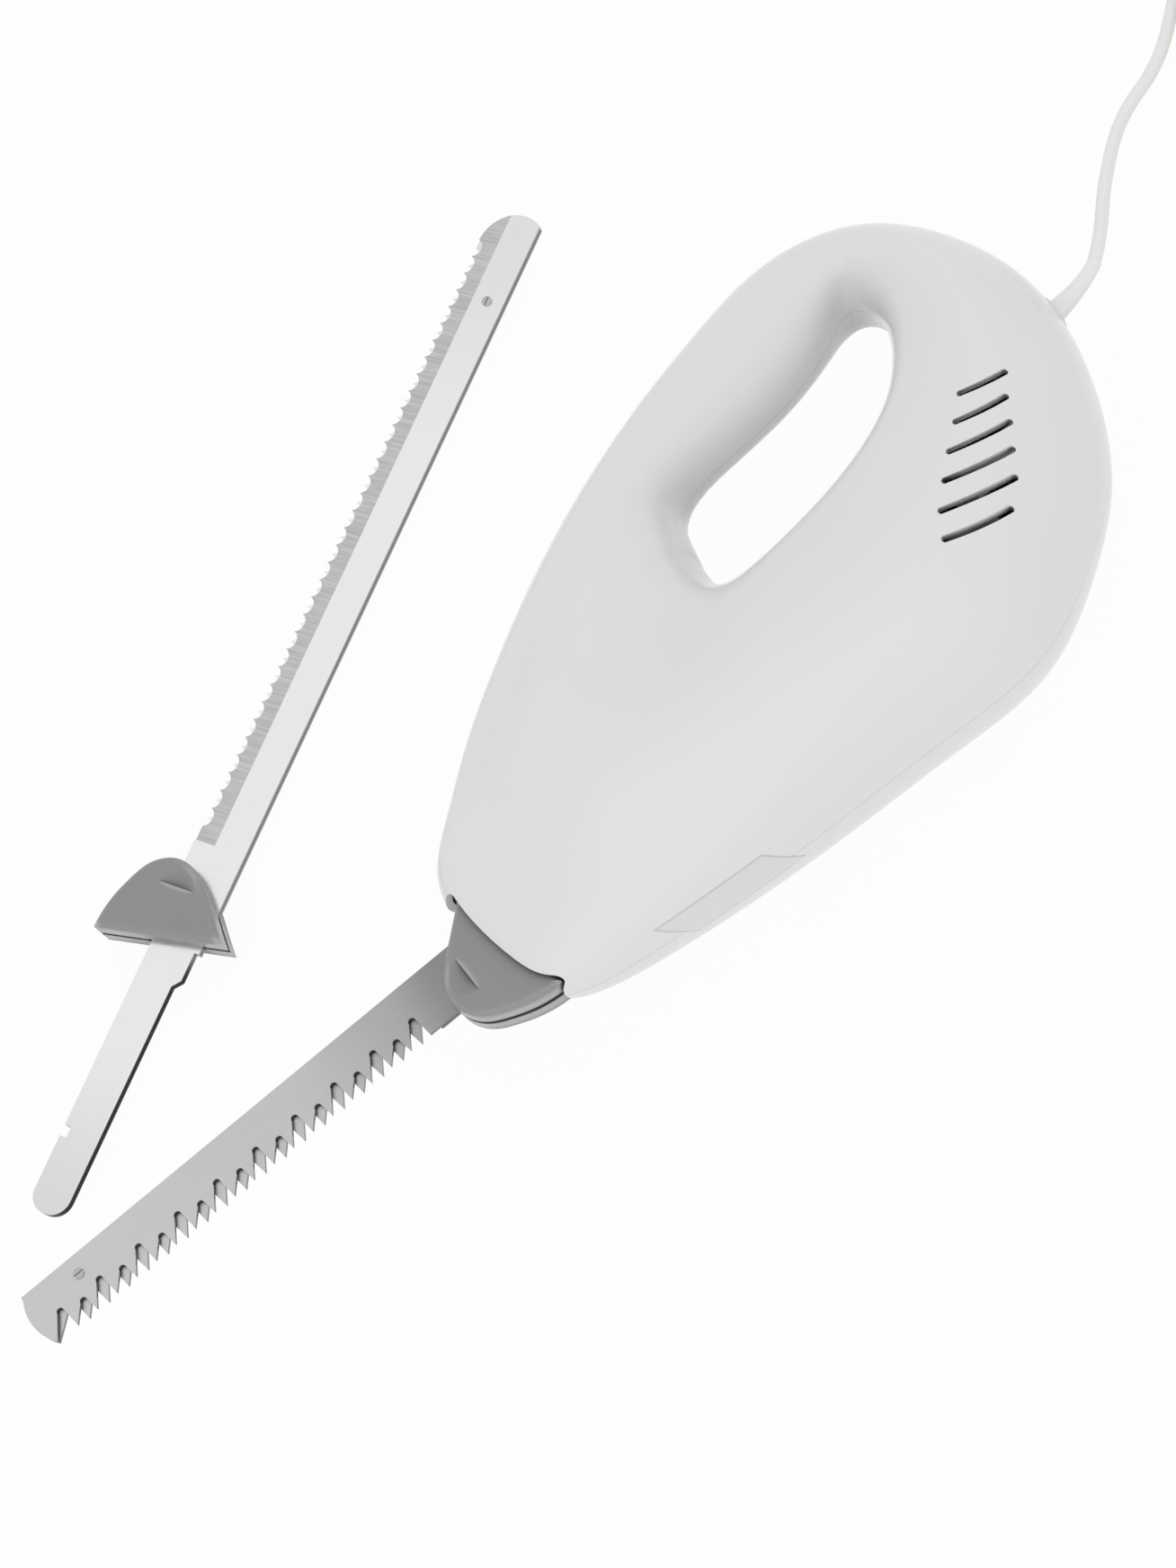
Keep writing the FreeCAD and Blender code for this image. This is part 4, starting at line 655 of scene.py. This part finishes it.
@dataclass
class AddedPiece:
    """New piece on the housing, with its finish; its slot field is not used."""

    name: str
    finish: Finish
    slot: str
    body: Body = Body.HOUSING

    def shells(self) -> list[BVHTree]:
        """Search trees of the two housing halves.

        Returns:
            One tree for each half.
        """
        trees = []
        for name in ("left_shell", "right_shell"):
            mesh = bmesh.new()
            mesh.from_mesh(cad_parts[name].data)
            trees.append(BVHTree.FromBMesh(mesh))
            mesh.free()
        return trees

    def ring_edges(self, made: dict[str, list[bmesh.types.BMVert]]) -> list[bmesh.types.BMEdge]:
        """Edges of a new circle.

        Args:
            made: What the circle operator gave back.

        Returns:
            Edges.
        """
        return list(dict.fromkeys(edge for vertex in made["verts"] for edge in vertex.link_edges))

    def settle(self, mesh: bmesh.types.BMesh) -> bpy.types.Object:
        """Make the finished mesh a smooth piece that rides on its body.

        Args:
            mesh: Mesh in place, freed here.

        Returns:
            The piece.
        """
        bmesh.ops.recalc_face_normals(mesh, faces=mesh.faces)
        data = bpy.data.meshes.new(self.name)
        mesh.to_mesh(data)
        mesh.free()
        piece = bpy.data.objects.new(self.name, data)
        bpy.context.scene.collection.objects.link(piece)
        data.materials.append(self.finish.material())
        data.shade_smooth()
        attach(piece, self.body.value)
        LOG.info("%s: %d faces", self.name, len(data.polygons))
        return piece


@dataclass
class Label(AddedPiece):
    """Blank film on the underside, laid round the belly across the parting line."""

    name: str = "blank_label"
    finish: Finish = LABEL_FILM
    slot: str = "white_plastic"
    x_from: float = -0.1008
    x_to: float = -0.0649
    angle_from_deg: float = 166.5
    angle_to_deg: float = 187.0
    lean: float = 0.0096
    centre_y: float = 0.01
    centre_z: float = 0.0395
    reach: float = 0.12
    lift: float = 0.00004
    columns: int = 24
    rows: int = 16
    grid_half: float = 0.5

    def build(self) -> bpy.types.Object:
        """Lay the film on the housing.

        Returns:
            The film.
        """
        trees = self.shells()
        mesh = bmesh.new()
        mesh.loops.layers.uv.new("UVMap")
        bmesh.ops.create_grid(mesh, x_segments=self.columns, y_segments=self.rows, size=self.grid_half, calc_uvs=True)
        spread = self.angle_to_deg - self.angle_from_deg
        for vertex in mesh.verts:
            along, round_share = vertex.co.x + self.grid_half, vertex.co.y + self.grid_half
            angle = math.radians(self.angle_from_deg + spread * round_share)
            x = self.x_from + (self.x_to - self.x_from) * along + self.lean * round_share
            outward = Vector((0.0, math.cos(angle), math.sin(angle)))
            start = Vector((x, self.centre_y, self.centre_z)) + outward * self.reach
            hits = [tree.ray_cast(start, -outward) for tree in trees]
            spot, normal, _, _ = min((hit for hit in hits if hit[0] is not None), key=lambda hit: hit[3])
            vertex.co = spot + normal * self.lift
        return self.settle(mesh)


@dataclass
class SleeveFlare(AddedPiece):
    """Soft flare of the cord sleeve, wide at the housing and drawn down to the cord."""

    name: str = "sleeve_flare"
    finish: Finish = CORD_PLASTIC
    slot: str = "cord_white"
    path: tuple[Point, Point, Point] = ((0.0915, 0.0456, 0.0395), (0.1050, 0.0456, 0.0395), (0.1143, 0.0513, 0.0371))
    wide: float = 0.0037
    slim: float = 0.00206
    hollow: float = 1.6
    rings: int = 14
    sides: int = 36

    def station(self, share: float) -> Matrix:
        """Place and direction along the sleeve.

        Args:
            share: Share of the sleeve's length.

        Returns:
            Matrix with its Z along the sleeve.
        """
        first, middle, last = (Vector(point) for point in self.path)
        spot = first.lerp(middle, share).lerp(middle.lerp(last, share), share)
        ahead = middle.lerp(last, share) - first.lerp(middle, share)
        return Matrix.Translation(spot) @ ahead.to_track_quat("Z", "Y").to_matrix().to_4x4()

    def build(self) -> bpy.types.Object:
        """Make the flare ring by ring.

        Returns:
            The flare.
        """
        mesh = bmesh.new()
        last_edges: list[bmesh.types.BMEdge] = []
        for ring in range(self.rings + 1):
            share = ring / self.rings
            radius = self.slim + (self.wide - self.slim) * (1.0 - share) ** self.hollow
            made = bmesh.ops.create_circle(mesh, segments=self.sides, radius=radius, matrix=self.station(share))
            edges = self.ring_edges(made)
            if last_edges:
                bmesh.ops.bridge_loops(mesh, edges=last_edges + edges)
            last_edges = edges
        return self.settle(mesh)


@dataclass
class ExitLip(AddedPiece):
    """Small raised lip on the housing round the cord sleeve."""

    name: str = "exit_lip"
    finish: Finish = WHITE_PLASTIC
    slot: str = "white_plastic"
    centre_y: float = 0.0456
    centre_z: float = 0.0395
    start_x: float = 0.13
    ring: float = 0.0046
    bead: float = 0.00055
    sides: int = 12
    steps: int = 64

    def surface_x(self, trees: list[BVHTree], vertex: Vector) -> float:
        """Where the housing lies under a point of the lip.

        Args:
            trees: Search trees of the housing.
            vertex: Point of the lip.

        Returns:
            X of the housing's outer face.
        """
        out = Vector((0.0, vertex.y - self.centre_y, vertex.z - self.centre_z)).normalized() * self.ring
        start = Vector((self.start_x, self.centre_y, self.centre_z)) + out
        hits = [tree.ray_cast(start, Vector((-1.0, 0.0, 0.0))) for tree in trees]
        return max(hit[0].x for hit in hits if hit[0] is not None)

    def build(self) -> bpy.types.Object:
        """Turn a bead round the exit and lay it on the housing.

        Returns:
            The lip.
        """
        trees = self.shells()
        mesh = bmesh.new()
        centre = Vector((0.0, self.centre_y, self.centre_z))
        side = Matrix.Translation(centre + Vector((0.0, self.ring, 0.0)))
        made = bmesh.ops.create_circle(mesh, segments=self.sides, radius=self.bead, matrix=side)
        edges = self.ring_edges(made)
        bmesh.ops.spin(mesh, geom=edges, cent=centre, axis=(1.0, 0.0, 0.0), angle=2.0 * math.pi, steps=self.steps)
        bmesh.ops.remove_doubles(mesh, verts=mesh.verts, dist=JOIN_DISTANCE)
        for vertex in mesh.verts:
            vertex.co.x += self.surface_x(trees, vertex.co)
        return self.settle(mesh)


@dataclass
class Housing(SubAssembly):
    """Moulded ring housing of two halves with its screws."""

    finishes: dict[str, Finish] = field(default_factory=lambda: {
        "left_shell": WHITE_PLASTIC,
        "right_shell": WHITE_PLASTIC,
        "housing_screws": MACHINE_STEEL,
        "cord_sleeve": CORD_PLASTIC,
        "cord_clamp": DARK_PLASTIC,
    })


@dataclass
class MountedPair(SubAssembly):
    """Coarse blade pair in the nose with its guard."""

    finishes: dict[str, Finish] = field(default_factory=lambda: {
        "left_blade": BLADE_STEEL,
        "right_blade": BLADE_STEEL,
        "tip_rivet": RIVET_STEEL,
    })
    crease_deg: float = 4.0


@dataclass
class SparePair(SubAssembly):
    """Scalloped blade pair lying on the table."""

    finishes: dict[str, Finish] = field(default_factory=lambda: {
        "spare_left_blade": SPARE_STEEL,
        "spare_right_blade": SPARE_STEEL,
        "spare_tip_rivet": RIVET_STEEL,
    })
    crease_deg: float = 4.0


@dataclass
class Guards(SubAssembly):
    """Grey guard halves of both pairs."""

    finishes: dict[str, Finish] = field(default_factory=lambda: {
        "left_guard": GUARD_PLASTIC,
        "right_guard": GUARD_PLASTIC,
        "spare_left_guard": SPARE_GUARD_PLASTIC,
        "spare_right_guard": SPARE_GUARD_PLASTIC,
    })
    crease_deg: float = 28.0


@dataclass
class Drive(SubAssembly):
    """Worm drive, blade carriers, their guide and latches."""

    finishes: dict[str, Finish] = field(default_factory=lambda: {
        "left_carrier": NYLON,
        "right_carrier": NYLON,
        "left_latch": SPRING_STEEL,
        "right_latch": SPRING_STEEL,
        "slide_guide": NYLON,
        "worm_wheel": NYLON,
        "gear_axle": MACHINE_STEEL,
        "worm": MACHINE_STEEL,
    })


@dataclass
class Motor(SubAssembly):
    """Universal motor with its bearings, brackets and brush gear."""

    finishes: dict[str, Finish] = field(default_factory=lambda: {
        "motor_shaft": MACHINE_STEEL,
        "armature_core": LAMINATION,
        "armature_windings": COPPER,
        "commutator": BRASS,
        "cooling_fan": DARK_PLASTIC,
        "field_coils": COPPER,
        "stator_core": LAMINATION,
        "front_bearing": BRASS,
        "rear_bearing": BRASS,
        "front_bracket": ALUMINIUM,
        "rear_bracket": ALUMINIUM,
        "motor_screws": MACHINE_STEEL,
        "carbon_brushes": CARBON,
        "brush_holders": BRASS,
        "brush_springs": SPRING_STEEL,
    })


@dataclass
class Controls(SubAssembly):
    """Power button, release button, their springs and the switch."""

    finishes: dict[str, Finish] = field(default_factory=lambda: {
        "power_button": BUTTON_PLASTIC,
        "button_spring": SPRING_STEEL,
        "switch_body": DARK_PLASTIC,
        "release_button": BUTTON_PLASTIC,
        "release_spring": SPRING_STEEL,
    })


@dataclass
class Mains(SubAssembly):
    """Mains cord with its put-away coil, tie and plug."""

    finishes: dict[str, Finish] = field(default_factory=lambda: {
        "cord_tie": TIE_PLASTIC,
        "plug_body": CORD_PLASTIC,
        "plug_pins": PIN_NICKEL,
    })
    radius: float = 0.002
    length: float = 1.196
    route: tuple[Point, ...] = (
        (0.0750, 0.0456, 0.0395),
        (0.1076, 0.0456, 0.0395),
        (0.1205, 0.0570, 0.0348),
        (0.1355, 0.0790, 0.0200),
        (0.1560, 0.1020, 0.0045),
        (0.1758, 0.1080, 0.0029),
        (0.1950, 0.1240, 0.0029),
    )
    coil_centre: tuple[float, float] = (0.22439, 0.10747)
    coil_heading: tuple[float, float] = (0.7682, 0.6402)
    coil_outer: float = 0.0315125
    coil_pitch: float = 0.0045
    coil_turns: float = 3.25
    coil_layer: float = 0.00455
    points_per_turn: int = 16
    line_steps: int = 6
    round_steps: int = 5
    tail: tuple[Point, ...] = (
        (0.2372, 0.0766, 0.0072),
        (0.2283, 0.0685, 0.0064),
        (0.2194, 0.0604, 0.0062),
        (0.2164, 0.0577, 0.0062),
    )

    def coil_points(self) -> list[Vector]:
        """Points of the two layers of turns, inward below and outward above.

        Returns:
            Points in order along the cord.
        """
        count = int(2 * self.coil_turns * self.points_per_turn)
        first = math.atan2(self.coil_heading[0], -self.coil_heading[1])
        swell = 1.0 / math.cos(math.pi / self.points_per_turn)
        climb = 0.5 / self.coil_turns
        points = []
        for step in range(count + 1):
            share = 2.0 * step / count
            inward = min(share, 2.0 - share)
            radius = (self.coil_outer - self.coil_pitch * self.coil_turns * inward) * swell
            angle = first - 2.0 * math.pi * self.coil_turns * share
            rise = min(1.0, max(0.0, (share - 1.0 + climb / 2.0) / climb))
            height = self.route[-1][2] + self.coil_layer * rise * rise * (3.0 - 2.0 * rise)
            points.append(Vector((self.coil_centre[0] + radius * math.cos(angle),
                                  self.coil_centre[1] + radius * math.sin(angle), height)))
        return points

    def build(self) -> bpy.types.Object:
        """Lay the cord as one smooth line.

        Returns:
            The cord.
        """
        plug_low, plug_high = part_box("plug_body")
        route, tail = ([Vector(point) for point in points] for points in (self.route, self.tail))
        points = route + self.coil_points() + tail
        curve = bpy.data.curves.new("mains_cord", "CURVE")
        curve.dimensions = "3D"
        spline = curve.splines.new("NURBS")
        spline.points.add(len(points) - 1)
        for spot, point in zip(spline.points, points):
            spot.co = (*point, 1.0)
        spline.order_u = 3
        spline.use_endpoint_u = True
        spline.resolution_u = self.line_steps
        curve.bevel_depth = self.radius
        curve.bevel_resolution = self.round_steps
        curve.use_fill_caps = True
        curve.materials.append(CORD_PLASTIC.material())
        piece = bpy.data.objects.new("mains_cord", curve)
        bpy.context.scene.collection.objects.link(piece)
        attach(piece, Body.HOUSING.value)
        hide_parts("power_cord", "cord_coil")
        LOG.info("mains_cord: %d points, plug from %s to %s", len(points), plug_low, plug_high)
        return piece


@dataclass(frozen=True)
class Lamp:
    """Large soft square lamp: its place, side in metres and watts."""

    name: str
    place: Point
    size: float
    power: float


@dataclass
class Studio:
    """Camera, floor and soft lights."""

    target: Point = (-0.089, 0.0245, 0.0395)
    tilt_deg: float = 28.0
    roll_deg: float = 39.5
    distance: float = 1.211
    lens: float = 100.0
    sensor: float = 36.0
    clip: Span = (0.01, 50.0)
    floor_half: float = 4.0
    floor_cells: int = 4
    floor_colour: Colour = (0.86, 0.86, 0.86)
    floor_roughness: float = 0.9
    floor_shine: float = 0.1
    floor_glow: float = 0.95
    sky: float = 0.81
    lamps: tuple[Lamp, ...] = (
        Lamp("key_lamp", (-0.9, -1.1, 1.1), 2.2, 6.5),
        Lamp("fill_lamp", (1.3, 0.9, 0.9), 1.8, 2.6),
    )

    def camera(self) -> None:
        """Camera at the photograph's angle."""
        data = bpy.data.cameras.new("camera")
        data.lens = self.lens
        data.sensor_width = self.sensor
        data.sensor_fit = "AUTO"
        data.clip_start, data.clip_end = self.clip
        tilt = Matrix.Rotation(math.radians(self.tilt_deg), 4, "X")
        turn = tilt @ Matrix.Rotation(-math.radians(self.roll_deg), 4, "Z")
        back = turn @ Vector((0.0, 0.0, 1.0))
        camera = bpy.data.objects.new("camera", data)
        camera.matrix_world = Matrix.Translation(Vector(self.target) + back * self.distance) @ turn
        bpy.context.scene.collection.objects.link(camera)
        bpy.context.scene.camera = camera

    def seen(self, tree: bpy.types.NodeTree) -> bpy.types.NodeSocket:
        """Share that is 1 for rays from the camera, a mirror or glass.

        Args:
            tree: Node tree to add to.

        Returns:
            Value socket.
        """
        path = tree.nodes.new("ShaderNodeLightPath")
        share = path.outputs["Is Camera Ray"]
        for ray in ("Is Glossy Ray", "Is Transmission Ray"):
            either = tree.nodes.new("ShaderNodeMath")
            either.operation = "MAXIMUM"
            tree.links.new(share, either.inputs[0])
            tree.links.new(path.outputs[ray], either.inputs[1])
            share = either.outputs["Value"]
        return share

    def floor(self) -> None:
        """Pale floor that keeps a faint shadow."""
        mesh = bmesh.new()
        bmesh.ops.create_grid(mesh, x_segments=self.floor_cells, y_segments=self.floor_cells, size=self.floor_half)
        data = bpy.data.meshes.new("floor")
        mesh.to_mesh(data)
        mesh.free()
        floor = bpy.data.objects.new("floor", data)
        bpy.context.scene.collection.objects.link(floor)
        graph = Graph("pale_floor")
        graph.shader.inputs["Base Color"].default_value = (*self.floor_colour, 1.0)
        graph.shader.inputs["Roughness"].default_value = self.floor_roughness
        graph.shader.inputs["Specular IOR Level"].default_value = self.floor_shine
        glow = graph.add("ShaderNodeEmission")
        mix = graph.add("ShaderNodeMixShader")
        share = graph.math("MULTIPLY", self.seen(graph.tree), self.floor_glow)
        graph.feed(mix.inputs["Fac"], share)
        graph.tree.links.new(graph.shader.outputs["BSDF"], mix.inputs[1])
        graph.tree.links.new(glow.outputs["Emission"], mix.inputs[2])
        graph.tree.links.new(mix.outputs["Shader"], graph.tree.nodes["Material Output"].inputs["Surface"])
        data.materials.append(graph.material)

    def world(self) -> None:
        """Even pale surroundings, white where they are seen."""
        world = bpy.data.worlds.new("studio")
        world.use_nodes = True
        tree = world.node_tree
        ground = tree.nodes["Background"]
        ground.inputs["Color"].default_value = (1.0, 1.0, 1.0, 1.0)
        level = tree.nodes.new("ShaderNodeMapRange")
        level.inputs["To Min"].default_value = self.sky
        level.inputs["To Max"].default_value = 1.0
        tree.links.new(self.seen(tree), level.inputs["Value"])
        tree.links.new(level.outputs["Result"], ground.inputs["Strength"])
        bpy.context.scene.world = world

    def light(self, lamp: Lamp) -> None:
        """Hang a lamp and aim it at the knife.

        Args:
            lamp: Lamp to hang.
        """
        data = bpy.data.lights.new(lamp.name, "AREA")
        data.size = lamp.size
        data.energy = lamp.power
        light = bpy.data.objects.new(lamp.name, data)
        light.location = lamp.place
        light.rotation_mode = "QUATERNION"
        light.rotation_quaternion = (Vector(self.target) - Vector(lamp.place)).to_track_quat("-Z", "Y")
        bpy.context.scene.collection.objects.link(light)

    def build(self) -> None:
        """Set up the whole studio."""
        bpy.context.scene.view_settings.view_transform = "Standard"
        self.camera()
        self.floor()
        self.world()
        for lamp in self.lamps:
            self.light(lamp)
        LOG.info("studio ready")


def main() -> None:
    """Build the studio, then dress and complete each sub-assembly."""
    logging.basicConfig(level=logging.INFO, format="%(name)s: %(message)s")
    Studio().build()
    mains = Mains()
    mains.build()
    for assembly in (Housing(), MountedPair(), SparePair(), Guards(), Drive(), Motor(), Controls(), mains):
        assembly.dress()
    for piece in (Label(), SleeveFlare(), ExitLip()):
        piece.build()


if __name__ == "__main__":
    main()
